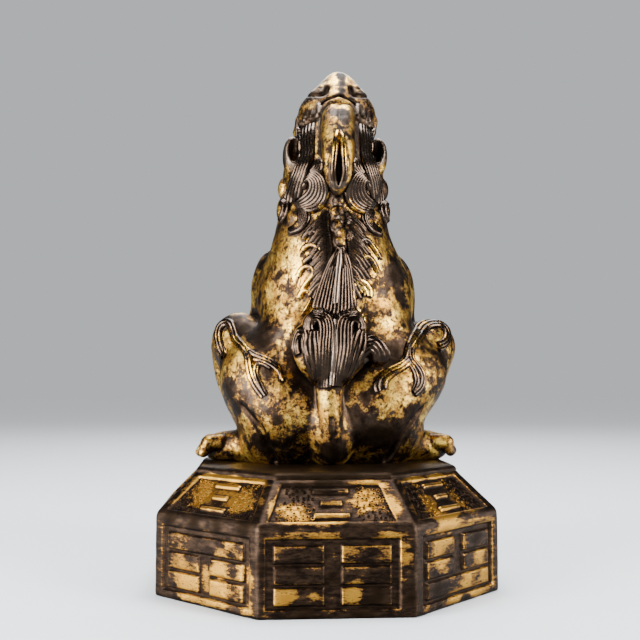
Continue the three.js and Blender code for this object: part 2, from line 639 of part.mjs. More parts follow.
// The surface where the sampled distance is nought, cell by cell, each cell cut into six tetrahedra
function surfaceOf(form) {
  const [nx, ny, nz] = form.size;
  const value = (i, j, k) => (k === 0 ? form.step : form.values[form.index(i, j, k)]);
  const nodeId = (i, j, k) => (k * ny + j) * nx + i;
  const positions = [];
  const indices = [];
  const made = new Map();
  const tetrahedra = [[0, 5, 1, 6], [0, 1, 2, 6], [0, 2, 3, 6], [0, 3, 7, 6], [0, 7, 4, 6], [0, 4, 5, 6]];
  const corners = [[0, 0, 0], [1, 0, 0], [1, 1, 0], [0, 1, 0], [0, 0, 1], [1, 0, 1], [1, 1, 1], [0, 1, 1]];

  const crossing = ([a, b]) => {
    const [low, high] = a.id < b.id ? [a, b] : [b, a];
    const key = low.id * 8 * nx * ny + (high.id - low.id);
    if (!made.has(key)) {
      const t = Math.min(0.98, Math.max(0.02, low.v / (low.v - high.v)));
      made.set(key, positions.length / 3);
      for (let axis = 0; axis < 3; axis++) {
        const along = low.p[axis] + t * (high.p[axis] - low.p[axis]);
        positions.push(form.start[axis] + along * form.step);
      }
    }
    return made.get(key);
  };

  // Adds a face through the middles of three edges, each an inner and an outer node, looking outwards.
  const addFace = (edges) => {
    const [a, b, c] = edges.map(([inner, outer]) => inner.p.map((v, axis) => v + outer.p[axis]));
    const u = b.map((v, axis) => v - a[axis]);
    const w = c.map((v, axis) => v - a[axis]);
    const normal = [u[1] * w[2] - u[2] * w[1], u[2] * w[0] - u[0] * w[2], u[0] * w[1] - u[1] * w[0]];
    const [inner, outer] = edges[0];
    const facing = normal.reduce((sum, v, axis) => sum + v * (outer.p[axis] - inner.p[axis]), 0);
    const [first, second, third] = edges.map(crossing);
    indices.push(first, facing < 0 ? third : second, facing < 0 ? second : third);
  };

  for (let k = 0; k + 1 < nz; k++) {
    for (let j = 0; j + 1 < ny; j++) {
      for (let i = 0; i + 1 < nx; i++) {
        const cell = corners.map(([a, b, c]) => value(i + a, j + b, k + c));
        const inside = cell.filter((v) => v < 0).length;
        if (inside === 0 || inside === corners.length) continue;
        const nodes = corners.map(([a, b, c], n) => {
          return { id: nodeId(i + a, j + b, k + c), p: [i + a, j + b, k + c], v: cell[n] };
        });
        for (const tetrahedron of tetrahedra) {
          const four = tetrahedron.map((n) => nodes[n]);
          const inner = four.filter((n) => n.v < 0);
          const outer = four.filter((n) => n.v >= 0);
          if (inner.length === 1) addFace(outer.map((n) => [inner[0], n]));
          if (inner.length === 3) addFace(inner.map((n) => [n, outer[0]]));
          if (inner.length === 2) {
            const [[a, b], [c, d]] = [inner, outer];
            addFace([[a, c], [a, d], [b, d]]);
            addFace([[a, c], [b, d], [b, c]]);
          }
        }
      }
    }
  }
  return { positions, indices };
}

// Fewer, larger faces: edges are folded away in order of how little the form changes

class Queue {
  constructor() {
    this.items = [];
  }

  push(item) {
    const items = this.items;
    let n = items.push(item) - 1;
    while (n > 0) {
      const parent = (n - 1) >> 1;
      if (items[parent].cost <= item.cost) break;
      items[n] = items[parent];
      n = parent;
    }
    items[n] = item;
  }

  pop() {
    const items = this.items;
    const first = items[0];
    const item = items.pop();
    if (!items.length) return first;
    let n = 0;
    for (;;) {
      let child = 2 * n + 1;
      if (child >= items.length) break;
      if (child + 1 < items.length && items[child + 1].cost < items[child].cost) child++;
      if (items[child].cost >= item.cost) break;
      items[n] = items[child];
      n = child;
    }
    items[n] = item;
    return first;
  }
}

// Twice the area of a face as a vector along its normal.
function faceVector(positions, a, b, c) {
  const ux = positions[3 * b] - positions[3 * a];
  const uy = positions[3 * b + 1] - positions[3 * a + 1];
  const uz = positions[3 * b + 2] - positions[3 * a + 2];
  const wx = positions[3 * c] - positions[3 * a];
  const wy = positions[3 * c + 1] - positions[3 * a + 1];
  const wz = positions[3 * c + 2] - positions[3 * a + 2];
  return [uy * wz - uz * wy, uz * wx - ux * wz, ux * wy - uy * wx];
}

const TERMS = 10; // of the squared distance from a set of planes

function addPlane(quadrics, vertex, normal, offset, weight) {
  const [x, y, z] = normal;
  const plane = [x, y, z, offset];
  const terms = plane.flatMap((first, n) => plane.slice(n).map((second) => first * second));
  for (let n = 0; n < TERMS; n++) quadrics[TERMS * vertex + n] += weight * terms[n];
}

function planeError(q, x, y, z) {
  const square = q[0] * x * x + q[4] * y * y + q[7] * z * z;
  const cross = q[1] * x * y + q[2] * x * z + q[5] * y * z;
  return square + 2 * (cross + q[3] * x + q[6] * y + q[8] * z) + q[9];
}

// The point that lies nearest to all the planes, or the best of the edge's ends and middle.
function bestPoint(q, first, second) {
  const [a, b, c, d, e, f, g, h, i] = q;
  const determinant = a * (e * h - f * f) - b * (b * h - f * c) + c * (b * f - e * c);
  const middle = first.map((v, n) => (v + second[n]) / 2);
  const choices = [middle, first, second];
  if (Math.abs(determinant) > 1e-6 * (a + e + h) ** 3) {
    const x = -(d * (e * h - f * f) - b * (g * h - f * i) + c * (g * f - e * i)) / determinant;
    const y = -(a * (g * h - i * f) - d * (b * h - f * c) + c * (b * i - g * c)) / determinant;
    const z = -(a * (e * i - f * g) - b * (b * i - g * c) + d * (b * f - e * c)) / determinant;
    const reach = Math.hypot(...first.map((v, n) => v - second[n]));
    if (Math.hypot(x - middle[0], y - middle[1], z - middle[2]) < reach) choices.unshift([x, y, z]);
  }
  const costs = choices.map((p) => Math.max(0, planeError(q, ...p)));
  const best = costs.indexOf(Math.min(...costs));
  return { point: choices[best], cost: costs[best] };
}

function simplified({ positions, indices }, budget) {
  const count = positions.length / 3;
  const place3 = Float64Array.from(positions);
  const faces = [];
  const around = Array.from({ length: count }, () => new Set());
  const quadrics = new Float64Array(TERMS * count);
  for (let n = 0; n < indices.length; n += 3) {
    const face = indices.slice(n, n + 3);
    const vector = faceVector(place3, ...face);
    const area = Math.hypot(...vector) || 1e-12;
    const normal = vector.map((v) => v / area);
    const offset = -normal.reduce((sum, v, axis) => sum + v * place3[3 * face[0] + axis], 0);
    for (const vertex of face) {
      around[vertex].add(faces.length);
      addPlane(quadrics, vertex, normal, offset, area);
    }
    faces.push(face);
  }
  const at = (vertex) => [place3[3 * vertex], place3[3 * vertex + 1], place3[3 * vertex + 2]];
  const age = new Uint32Array(count);
  const queue = new Queue();
  const neighbours = (vertex) => {
    const found = new Set();
    for (const face of around[vertex]) for (const other of faces[face]) found.add(other);
    found.delete(vertex);
    return found;
  };
  const offer = (a, b) => {
    const q = [];
    for (let n = 0; n < TERMS; n++) q.push(quadrics[TERMS * a + n] + quadrics[TERMS * b + n]);
    const { point, cost } = bestPoint(q, at(a), at(b));
    const [from, to] = [at(a), at(b)];
    const length2 = from.reduce((sum, v, axis) => sum + (v - to[axis]) ** 2, 0);
    queue.push({ a, b, point, cost: cost + 1e-4 * length2, ageA: age[a], ageB: age[b] });
  };

  // Whether the faces round a vertex still look the same way once it moves to the point.
  const keepsFacing = (vertex, gone, point, care) => {
    for (const face of around[vertex]) {
      const corners = faces[face];
      if (corners.includes(gone)) continue;
      const before = faceVector(place3, ...corners);
      const own = corners.indexOf(vertex);
      const [p, q] = [at(corners[(own + 1) % 3]), at(corners[(own + 2) % 3])];
      const after = faceVector([...point, ...p, ...q], 0, 1, 2);
      const dot = before.reduce((sum, v, axis) => sum + v * after[axis], 0);
      const [sizeBefore, sizeAfter] = [Math.hypot(...before), Math.hypot(...after)];
      const longest = Math.max(...[p, q].map((r) => Math.hypot(...r.map((v, axis) => v - point[axis]))));
      const turned = dot < 0.3 * care * sizeBefore * sizeAfter;
      if (turned || sizeAfter < 0.08 * care * longest * longest) return false;
    }
    return true;
  };

  const mayFold = ({ a, b, point, ageA, ageB }, care) => {
    if (age[a] !== ageA || age[b] !== ageB) return false;
    const shared = neighbours(a);
    const common = [...neighbours(b)].filter((vertex) => shared.has(vertex));
    return common.length === 2 && keepsFacing(a, b, point, care) && keepsFacing(b, a, point, care);
  };

  let left = faces.length;
  const fold = ({ a, b, point }) => {
    for (const face of [...around[b]]) {
      const corners = faces[face];
      if (corners.includes(a)) {
        for (const vertex of corners) around[vertex].delete(face);
        faces[face] = null;
        left--;
      } else {
        corners[corners.indexOf(b)] = a;
        around[a].add(face);
      }
    }
    around[b].clear();
    age[b]++;
    for (let axis = 0; axis < 3; axis++) place3[3 * a + axis] = point[axis];
    for (let n = 0; n < TERMS; n++) quadrics[TERMS * a + n] += quadrics[TERMS * b + n];
    age[a]++;
    for (const vertex of neighbours(a)) offer(a, vertex);
  };

  // Each pass takes a little less care than the one before, down to none at the last.
  for (const care of [1, 0.8, 0.6, 0.4, 0.2, 0]) {
    for (let vertex = 0; vertex < count; vertex++) {
      for (const other of neighbours(vertex)) if (vertex < other) offer(vertex, other);
    }
    while (left > budget && queue.items.length) {
      const next = queue.pop();
      if (mayFold(next, care)) fold(next);
    }
    queue.items.length = 0;
  }

  const number = new Map();
  const keptPositions = [];
  const keptIndices = [];
  for (const face of faces.filter(Boolean)) {
    for (const vertex of face) {
      if (!number.has(vertex)) {
        number.set(vertex, keptPositions.length / 3);
        keptPositions.push(...at(vertex));
      }
      keptIndices.push(number.get(vertex));
    }
  }
  return { positions: keptPositions, indices: keptIndices };
}

// Evens out the faces: each vertex moves to the middle of its neighbours and back on to the form.
function relaxed({ positions, indices }, form, rounds) {
  const count = positions.length / 3;
  const even = Float64Array.from(positions);
  for (let round = 0; round < rounds; round++) {
    const sums = new Float64Array(3 * count);
    const shares = new Uint16Array(count);
    for (let n = 0; n < indices.length; n++) {
      const next = n % 3 === 2 ? n - 2 : n + 1;
      const [a, b] = [indices[n], indices[next]];
      for (let axis = 0; axis < 3; axis++) sums[3 * a + axis] += even[3 * b + axis];
      shares[a]++;
    }
    for (let vertex = 0; vertex < count; vertex++) {
      const p = [0, 1, 2].map((axis) => sums[3 * vertex + axis] / shares[vertex]);
      const away = form.at(...p);
      const slope = [0, 1, 2].map((axis) => {
        const [ahead, behind] = [[...p], [...p]];
        ahead[axis] += form.step / 2;
        behind[axis] -= form.step / 2;
        return (form.at(...ahead) - form.at(...behind)) / form.step;
      });
      const square = slope.reduce((sum, v) => sum + v * v, 0.05);
      const reach = Math.max(-0.5, Math.min(0.5, away / square));
      for (let axis = 0; axis < 3; axis++) even[3 * vertex + axis] = p[axis] - reach * slope[axis];
    }
  }
  return { positions: even, indices };
}

// The finished beast

// How far the figure stands to its right, from its foot to its nose, and how much more its tail does:
// [height, shift].
const LEAN = [[0, 1], [40, 3.4], [55, 3.2], [66, 2.4], [80, 2.7], [93, 3], [104, 3.9], [115, 4.7]];
const TAIL_LEAN = [[0, 0.8], [10, -0.7], [20, -2.2], [40, -2.3], [52, -0.7], [60, 0.4], [68, 0]];
const KNEE_DROP = 2.1; // how much lower the right knee is
const SHIN_TUCK = 1; // how much further in the right ankle is
const HEEL_OUT = 1.6; // how much further out the right heel is

const clamped = (t) => Math.min(1, Math.max(0, t));
const easeStep = (t) => clamped(t) ** 2 * (3 - 2 * clamped(t));

// The shift at a height, eased or straight between the listed ones.
function shiftAt(list, z, between) {
  let shift = list[0][1];
  for (let n = 0; n + 1 < list.length; n++) {
    const [[low, from], [high, to]] = [list[n], list[n + 1]];
    shift += (to - from) * between((z - low) / (high - low));
  }
  return shift;
}

// A point of the upright, even shape moved to where the leaning, uneven beast has it.
function posed(x, y, z) {
  const right = easeStep((x - 19) / 8);
  const knee = right * easeStep((z - 10) / 20) * easeStep((56 - z) / 12);
  const ankle = right * easeStep((z - 5) / 7) * easeStep((32 - z) / 16);
  const heel = right * easeStep((14 - z) / 6) * easeStep((z + 1) / 5) * easeStep((31 - x) / 6);
  const behind = easeStep((-y - 15) / 4) * easeStep((17 - Math.abs(x)) / 5);
  const lean = shiftAt(LEAN, z, easeStep) + behind * shiftAt(TAIL_LEAN, z, clamped);
  return [x + lean - SHIN_TUCK * ankle + HEEL_OUT * heel, y, z - KNEE_DROP * knee];
}

function beast() {
  const form = beastForm(SAMPLE_STEP);
  const { positions, indices } = simplified(relaxed(surfaceOf(form), form, 3), TRIANGLE_BUDGET);
  const placed = [];
  for (let n = 0; n < positions.length; n += 3) placed.push(...posed(...positions.slice(n, n + 3)));
  const shape = solidFrom(placed, indices);
  const scale = FIGURE_HEIGHT / shape.boundingBox().max[2];
  const standing = shape.trimByPlane([0, 0, 1], 0).scale(scale).translate(0, 0, PLINTH_HEIGHT);
  const pieces = standing.decompose().sort((a, b) => b.volume() - a.volume());
  return pieces[0];
}

function part(name, solid, material) {
  const mesh = new THREE.Mesh(geometryFrom(solid), material);
  mesh.name = name;
  return mesh;
}

const group = new THREE.Group();
group.name = 'pixiu_on_trigram_plinth';
group.add(part('plinth', plinth(), BRONZE_DARK));
group.add(part('pixiu_figure', beast(), BRONZE_GILT));

export default group;
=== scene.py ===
# %% [markdown]
# # A worn gilt pixiu on a trigram plinth
# The real object is a bronze casting about 15 cm tall: a squatting beast with its head thrown back,
# seen from behind, on an eight-sided plinth. Its gilding has rubbed and flaked down to dark bronze.
# The CAD frame fixes every size. This script gives the two CAD solids their fine forms and finish.

# %% Load the frame and keep its box
import math

import bmesh
import bpy
import numpy as np
from mathutils import Matrix, Vector
from mathutils.kdtree import KDTree


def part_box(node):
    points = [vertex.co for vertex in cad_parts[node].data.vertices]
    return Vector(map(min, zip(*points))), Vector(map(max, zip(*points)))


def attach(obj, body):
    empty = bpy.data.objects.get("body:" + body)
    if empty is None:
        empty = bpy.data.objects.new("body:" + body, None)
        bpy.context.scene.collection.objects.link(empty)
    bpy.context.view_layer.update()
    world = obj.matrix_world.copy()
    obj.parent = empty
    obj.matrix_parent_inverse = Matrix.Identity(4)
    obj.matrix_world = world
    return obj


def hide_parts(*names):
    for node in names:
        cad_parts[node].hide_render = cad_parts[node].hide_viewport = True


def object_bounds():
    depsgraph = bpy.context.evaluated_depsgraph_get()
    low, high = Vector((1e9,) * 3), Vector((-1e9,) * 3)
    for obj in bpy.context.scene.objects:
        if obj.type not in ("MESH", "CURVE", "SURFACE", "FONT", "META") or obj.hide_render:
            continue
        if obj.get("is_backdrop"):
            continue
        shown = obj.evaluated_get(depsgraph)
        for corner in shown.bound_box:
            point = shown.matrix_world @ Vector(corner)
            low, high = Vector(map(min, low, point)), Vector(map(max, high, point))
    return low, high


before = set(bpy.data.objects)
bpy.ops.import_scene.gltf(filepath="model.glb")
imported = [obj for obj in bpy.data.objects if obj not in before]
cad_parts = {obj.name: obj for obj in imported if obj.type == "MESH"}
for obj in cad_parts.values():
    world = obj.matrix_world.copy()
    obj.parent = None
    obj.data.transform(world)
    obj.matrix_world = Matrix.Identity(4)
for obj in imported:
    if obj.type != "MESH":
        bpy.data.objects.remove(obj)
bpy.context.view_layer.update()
MM = 0.001

# %% [markdown]
# ## The camera
# The photograph was taken from about 24 cm behind the beast's tail, a little to its left and just
# above the plinth. The plinth's corners gave the place, the turn and the lens, so the render can be
# laid over the photograph. A longer lens from further off would flatten the near plinth.

# %% Camera behind the tail
CAMERA_PLACE = Vector((-18.1, -263.6, 56.2)) * MM
CAMERA_TURN = 0.0642
CAMERA_RISE = 0.0692
PICTURE_SIZE = 640
FOCAL_PIXELS = 900.0

camera_data = bpy.data.cameras.new("photo_camera")
camera_data.sensor_width = 36.0
camera_data.lens = camera_data.sensor_width * FOCAL_PIXELS / PICTURE_SIZE
camera = bpy.data.objects.new("photo_camera", camera_data)
bpy.context.collection.objects.link(camera)
sight = Vector((
    math.sin(CAMERA_TURN) * math.cos(CAMERA_RISE),
    math.cos(CAMERA_TURN) * math.cos(CAMERA_RISE),
    math.sin(CAMERA_RISE),
))
camera.location = CAMERA_PLACE
camera.rotation_mode = "QUATERNION"
camera.rotation_quaternion = sight.to_track_quat("-Z", "Y")
camera_data.clip_start = 0.01
bpy.context.scene.camera = camera
print("lens in mm:", round(camera_data.lens, 2))

# %% [markdown]
# ## Clay made of distances
# The beast is all swellings that melt into each other, with no flat face anywhere. Sculpting can't
# be scripted, and boolean meshes leave creases, so the form is kept as numbers: each point of a grid
# holds its distance to the skin, and a new shape is pressed on or cut out by mixing its distances
# with the old ones. The same numbers later say how deep each spot lies, which the finish needs.

# %% A block of clay
class Clay:
    """Distances in mm on a grid. A mirrored block holds the half at x >= 0 alone."""

    def __init__(self, xs, ys, zs, mirrored=False):
        self.axes = [np.asarray(a, np.float32) for a in (xs, ys, zs)]
        self.values = np.full([len(a) for a in self.axes], 30.0, np.float32)
        self.mirrored = mirrored

    def merge(self, low, high, distance, blend=0.0, cuts=False):
        """A shape pressed on or cut out, within the box from low to high that it can touch."""
        window = tuple(
            slice(max(0, int(np.searchsorted(a, lo)) - 1), int(np.searchsorted(a, hi)) + 1)
            for a, lo, hi in zip(self.axes, low, high)
        )
        old = self.values[window]
        if old.size == 0:
            return
        points = np.meshgrid(*[a[w] for a, w in zip(self.axes, window)], indexing="ij", sparse=True)
        side = -1.0 if cuts else 1.0
        new = distance(*points)
        near = np.minimum(side * old, new)
        if blend > 0:
            touch = np.maximum(blend - np.abs(side * old - new), 0.0)
            near = near - touch * touch / (4 * blend)
        self.values[window] = side * near

    def at(self, points):
        """Distances at any points, from the samples round them."""
        points = np.asarray(points, float)
        spots, shares = [], []
        for axis in range(3):
            along = points[:, axis]
            if axis == 0 and self.mirrored:
                along = np.abs(along)
            place = np.interp(along, self.axes[axis], np.arange(len(self.axes[axis])))
            spot = np.minimum(place.astype(int), len(self.axes[axis]) - 2)
            spots.append(spot)
            shares.append(place - spot)
        total = np.zeros(len(points))
        for corner in range(8):
            bits = [(corner >> axis) & 1 for axis in range(3)]
            weight = np.ones(len(points))
            for bit, share in zip(bits, shares):
                weight = weight * (share if bit else 1 - share)
            total += weight * self.values[tuple(s + b for s, b in zip(spots, bits))]
        return total

    def slope(self, points, span=0.4):
        """The direction in which the distance grows, which points out of the skin."""
        points = np.asarray(points, float)
        found = np.empty_like(points)
        for axis in range(3):
            step = np.zeros(3)
            step[axis] = span
            found[:, axis] = (self.at(points + step) - self.at(points - step)) / (2 * span)
        return found

    def whole(self):
        """Both halves of a mirrored block."""
        xs, ys, zs = self.axes
        both = Clay(np.concatenate([-xs[:0:-1], xs]), ys, zs)
        both.values = np.concatenate([self.values[:0:-1], self.values])
        return both


# %% Shapes to press on or cut out
REACH = 2.5  # how far past a shape its distances are kept, in mm


def place(x, y, z, tilt_x=0.0, tilt_y=0.0, tilt_z=0.0):
    """A frame at a point, tilted by degrees."""
    turn = Matrix.Identity(4)
    for axis, tilt in (("X", tilt_x), ("Y", tilt_y), ("Z", tilt_z)):
        turn = turn @ Matrix.Rotation(math.radians(tilt), 4, axis)
    return Matrix.Translation((x, y, z)) @ turn


def swelling(clay, matrix, radii, blend=0.0, cuts=False):
    """An egg shape with the given frame and radii."""
    matrix = np.array(matrix)
    turn, centre = matrix[:3, :3], matrix[:3, 3]
    radii = np.array(radii, float)
    half = np.sqrt(((turn * radii) ** 2).sum(1)) + REACH + blend

    def distance(x, y, z):
        local = [sum(turn[row, n] * (p - centre[row]) for row, p in enumerate((x, y, z))) for n in range(3)]
        whole = np.sqrt(sum((a / r) ** 2 for a, r in zip(local, radii)))
        fall = np.sqrt(sum((a / r ** 2) ** 2 for a, r in zip(local, radii)))
        return (whole * (whole - 1) / np.maximum(fall, 1e-6)).astype(np.float32)

    clay.merge(centre - half, centre + half, distance, blend, cuts)


def limb(clay, sections, blend=0.0, matrix=None, cuts=False):
    """Round sections [x, y, z, radius] joined by straight tapers."""
    sections = np.array(sections, float)
    if matrix is not None:
        matrix = np.array(matrix)
        sections[:, :3] = sections[:, :3] @ matrix[:3, :3].T + matrix[:3, 3]
    for (a, b) in zip(sections[:-1], sections[1:]):
        along = b[:3] - a[:3]
        length2 = max(along @ along, 1e-9)
        pad = REACH + blend

        def distance(x, y, z):
            px, py, pz = x - a[0], y - a[1], z - a[2]
            share = np.clip((px * along[0] + py * along[1] + pz * along[2]) / length2, 0, 1)
            away = ((px - share * along[0]) ** 2 + (py - share * along[1]) ** 2
                    + (pz - share * along[2]) ** 2)
            return (np.sqrt(away) - (a[3] + share * (b[3] - a[3]))).astype(np.float32)

        low = np.minimum(a[:3] - a[3], b[:3] - b[3]) - pad
        high = np.maximum(a[:3] + a[3], b[:3] + b[3]) + pad
        clay.merge(low, high, distance, blend, cuts)


def eased(sections, steps=4):
    """Smooth sections through the given ones: a centripetal curve for the first three numbers."""
    p = np.array(sections, float)
    path = np.vstack([2 * p[0, :3] - p[1, :3], p[:, :3], 2 * p[-1, :3] - p[-2, :3]])
    gaps = np.maximum(np.linalg.norm(np.diff(path, axis=0), axis=1) ** 0.5, 1e-4)
    made = []
    for n in range(len(p) - 1):
        p0, p1, p2, p3 = path[n:n + 4]
        d0, d1, d2 = gaps[n:n + 3]
        leave = ((p1 - p0) / d0 - (p2 - p0) / (d0 + d1) + (p2 - p1) / d1) * d1
        arrive = ((p2 - p1) / d1 - (p3 - p1) / (d1 + d2) + (p3 - p2) / d2) * d1
        for t in np.arange(steps) / steps:
            point = p1 + leave * t
            point = point + (3 * (p2 - p1) - 2 * leave - arrive) * t ** 2
            point = point + (2 * (p1 - p2) + leave + arrive) * t ** 3
            made.append([*point, *(p[n, 3:] * (1 - t) + p[n + 1, 3:] * t)])
    made.append(list(p[-1]))
    return np.array(made)


# %% Looking at the clay from behind
BEHIND, MIDDLE = -32.0, 4.0  # the look starts at the grid's back and gives up past the body's middle
LEAST_STEP, LONGEST_STEP, STEPS = 0.02, 0.5, 160


def back_depth(clay, xz):
    """How deep the skin lies at points [x, z] as seen from straight behind."""
    xz = np.asarray(xz, float)
    y = np.full(len(xz), BEHIND)
    for _ in range(STEPS):
        away = clay.at(np.column_stack([xz[:, 0], y, xz[:, 1]]))
        onwards = y + np.clip(0.7 * away, LEAST_STEP, LONGEST_STEP)
        y = np.where((away > LEAST_STEP) & (y < MIDDLE), onwards, y)
    return y


def back_frame(clay, x, z):
    """A frame on the back: x across, y up and z straight out of the skin."""
    spot = np.array([[x, back_depth(clay, [[x, z]])[0], z]])
    out = Vector(clay.slope(spot, 1.5)[0]).normalized()
    across = Vector((0, 0, 1)).cross(out).normalized()
    up = out.cross(across)
    frame_on_skin = Matrix.Identity(4)
    for column, axis in enumerate((across, up, out)):
        frame_on_skin.col[column][:3] = axis
    frame_on_skin.translation = spot[0]
    return frame_on_skin


print("clay tools ready")

# %% [markdown]
# ## The beast's main masses
# A squatting animal is a few large masses: a barrel of a trunk, haunches folded up beside it, and
# forelegs as props in front. Their sizes and places are the CAD model's own, so the skin keeps its
# outline. Both sides are alike here, so half the grid is enough.

# %% Trunk, haunches and legs
COARSE = 1.0
xs = np.arange(0, 43, 0.42 * COARSE)
ys = np.arange(-32, 37.5, 0.45 * COARSE)
zs = np.concatenate([np.arange(-1.2, 60, 0.46 * COARSE), np.arange(60, 120.5, 0.36 * COARSE)])
half_clay = Clay(xs, ys, zs, mirrored=True)


def trunk(clay):
    swelling(clay, place(0, 1, 46), [23, 18.5, 23.5])
    swelling(clay, place(0, -4, 18.5), [20, 15.6, 20.5], 7)
    swelling(clay, place(0, 9, 42), [16, 13.5, 20], 6)
    swelling(clay, place(0, 9, 15), [13.5, 13, 18], 5)
    limb(clay, eased([[0, -1, 55, 16.4], [0, 0.5, 66, 12.8], [0, 1.5, 76, 11.6], [0, 2, 85, 11]]), 6)
    swelling(clay, place(17, 7, 49), [7.8, 10, 13.5], 1.6)
    swelling(clay, place(13, -4, 6.5), [12.5, 10.5, 9.5], 4)


def loin(clay):
    swelling(clay, place(9.5, -7.4, 34), [11, 10.6, 14], 5)


def haunch(clay):
    limb(clay, eased([[11.6, -8, 14, 11.4], [17.2, -5.6, 22, 10.6], [21, -3, 27, 9.6]]), 6)
    limb(clay, eased([[17.6, -5.6, 22, 10.4], [24, -1, 30, 8.8], [28.2, 3, 35.2, 7.9]]), 1.4)
    shin = [[30.6, 6.6, 33.4, 5.9], [28.8, 6, 23, 4.7], [23.6, 3.4, 13, 3.6], [22.2, 1.6, 5.6, 4]]
    limb(clay, eased(shin), 0.8)


TOES = 4


def hind_foot(clay):
    sole = [[17.4, -5, 2.6, 3.4], [22, -1.6, 4.4, 4.4], [28.5, 1, 4.3, 4], [32.3, 2.4, 3.8, 3.7]]
    limb(clay, eased(sole), 1)
    for toe in range(TOES):
        spread = toe - (TOES - 1) / 2
        y = 2.4 + 2.9 * spread
        tip = 36.9 - 0.5 * spread * spread
        limb(clay, [[31, y * 0.8, 5.4, 2.2], [34.6, y, 5.2, 2.1], [tip, y * 1.1, 2.6, 1.5]], 0.4)


def foreleg(clay):
    upper = [[17, 11, 42, 8.4], [18, 14.5, 30, 6.4], [15.5, 18.5, 19, 5.1]]
    limb(clay, eased([*upper, [12, 22.5, 9, 4.4], [11.2, 24, 5, 4.6]]), 2)
    swelling(clay, place(11, 25.5, 3.4), [5.3, 5, 3.8], 1.2)
    for toe in range(TOES):
        spread = toe - (TOES - 1) / 2
        x = 11 + 2.7 * spread
        tip = 30.6 - 0.5 * spread * spread
        limb(clay, [[x, 26, 4.6, 1.9], [x * 1.01, tip - 2.2, 4.2, 1.8], [x * 1.02, tip, 2, 1.3]], 0.4)


# The crease between the calf and the rump, as [x, z] seen from behind.
CALF_CREASE = [[25.6, 16.4], [24, 14.4], [21.7, 11.8], [19.6, 8.8], [18, 5.4], [15.6, 0.6]]


def calf_crease(clay):
    depth = back_depth(clay, CALF_CREASE)
    sizes = [0.4, 0.8, 1.0, 1.1, 1.2, 1.2]
    crease = [[x, y - 0.2, z, size] for (x, z), y, size in zip(CALF_CREASE, depth, sizes)]
    limb(clay, eased(crease), 0.6, cuts=True)


for mass in (trunk, haunch, loin, hind_foot, calf_crease, foreleg):
    mass(half_clay)
print("grid of", half_clay.values.size, "samples")

# %% [markdown]
# ## The head thrown back
# The head looks up at the sky, so from behind its crown, horn and mane show, with the nose as the
# highest point. It is shaped in its own frame, with the nose forwards, which is then pitched up:
# a head is easier to think about looking straight ahead.

# %% Skull, nose and jaws
HEAD_PITCH = 65
head_frame = place(0, -2, 90, HEAD_PITCH)


def on_head(*spot):
    return head_frame @ place(*spot)


def skull(clay):
    swelling(clay, on_head(0, -1, 0), [11.8, 14, 11.3], 3)
    swelling(clay, on_head(0, -11, 2), [12, 9, 9], 3)
    swelling(clay, on_head(8, -4, -4), [6.6, 12, 8], 2)
    swelling(clay, on_head(0, 8, 3.6), [11, 6, 6.2], 2)
    swelling(clay, on_head(0, 14.2, 0.5), [10.6, 7.6, 6.4], 1.5)
    swelling(clay, on_head(6.4, 16, -2.2), [4.6, 5, 4.4], 1)


def nose(clay):
    bridge = [[0, 8, 5.4, 5.2], [0, 16.5, 4.7, 4.6], [0, 21.5, 3.9, 4.2], [0, 25.2, 3.2, 3]]
    cheek = [[7, 11.4, 3.8, 4.2], [4.6, 15.6, 4, 3.8], [2.7, 19, 4, 3.1], [0.9, 23, 3.4, 2.9]]
    limb(clay, eased(bridge), 1.2, head_frame)
    limb(clay, eased(cheek), 2.4, head_frame)
    swelling(clay, on_head(4.9, 18.6, 6.5), [1.7, 1.8, 2.3], 0.3)
    nostril = [[3.5, 18.4, 8.6, 0.5], [3.6, 16.8, 8.8, 0.7], [4.6, 15.2, 8.8, 0.9], [6.5, 15.2, 8.5, 1]]
    limb(clay, eased([*nostril, [8.3, 16.2, 7.2, 0.9], [9.6, 17.2, 4.4, 0.8]]), 0.2, head_frame, cuts=True)


def jaws(clay):
    limb(clay, eased([[0, 1, -8.5, 8.8], [0, 8, -11.4, 7], [0, 14.6, -12.8, 4.6]]), 3, head_frame)
    swelling(clay, on_head(0, 15.5, -6.6, -12), [6.6, 11, 3.2], 0.6, cuts=True)
    limb(clay, eased([[0, 6, -9.4, 3], [0, 12, -9.6, 2.7], [0, 17, -7.2, 1.6]]), 0.4, head_frame)
    lip = [[7.4, 6, -7.6, 1.1], [6.2, 13, -10, 1.1], [3, 17.6, -10.8, 1.1], [0, 18.6, -11, 1.1]]
    limb(clay, eased(lip), 0.4, head_frame)
    for fang in ([[4.9, 20, -3.6, 1.4], [4.9, 19.4, -7.6, 0.5]],
                 [[4.3, 15.6, -10.2, 1.4], [4.5, 15.8, -6.6, 0.5]]):
        limb(clay, fang, 0.3, head_frame)


# %% Brows, ears, horn and beard
BROW_LOCKS = [[5.6, 10.8, 8], [7.4, 11, 7.2], [9.2, 10.6, 5.8], [10.2, 9.6, 4.2], [10.8, 7.6, 2.4]]


def eyes_and_brows(clay):
    swelling(clay, on_head(9.9, 9, 0.2), [2.8, 3.3, 3], 0.3)
    swelling(clay, on_head(12.5, 9.4, 0.4), [0.9, 1.1, 1.1], 0.1, cuts=True)
    limb(clay, eased([[9.8, 12.6, 3.2, 1.1], [11, 9.6, 4, 1.2], [11, 5.4, 3.4, 1]]), 0.3, head_frame)
    for x, y, z in BROW_LOCKS:
        limb(clay, [[x, y, z, 1.3], [x + 0.2, y - 3.6, z + 0.9, 0.8]], 0.2, head_frame)


def ear(clay):
    swelling(clay, place(12.2, -5.2, 87.8, 0, 4, 0), [3.1, 4, 6.2], 0.8)
    swelling(clay, place(11.9, -9.6, 89.8, 0, 2, 0), [2.1, 4.6, 4], 0.2, cuts=True)


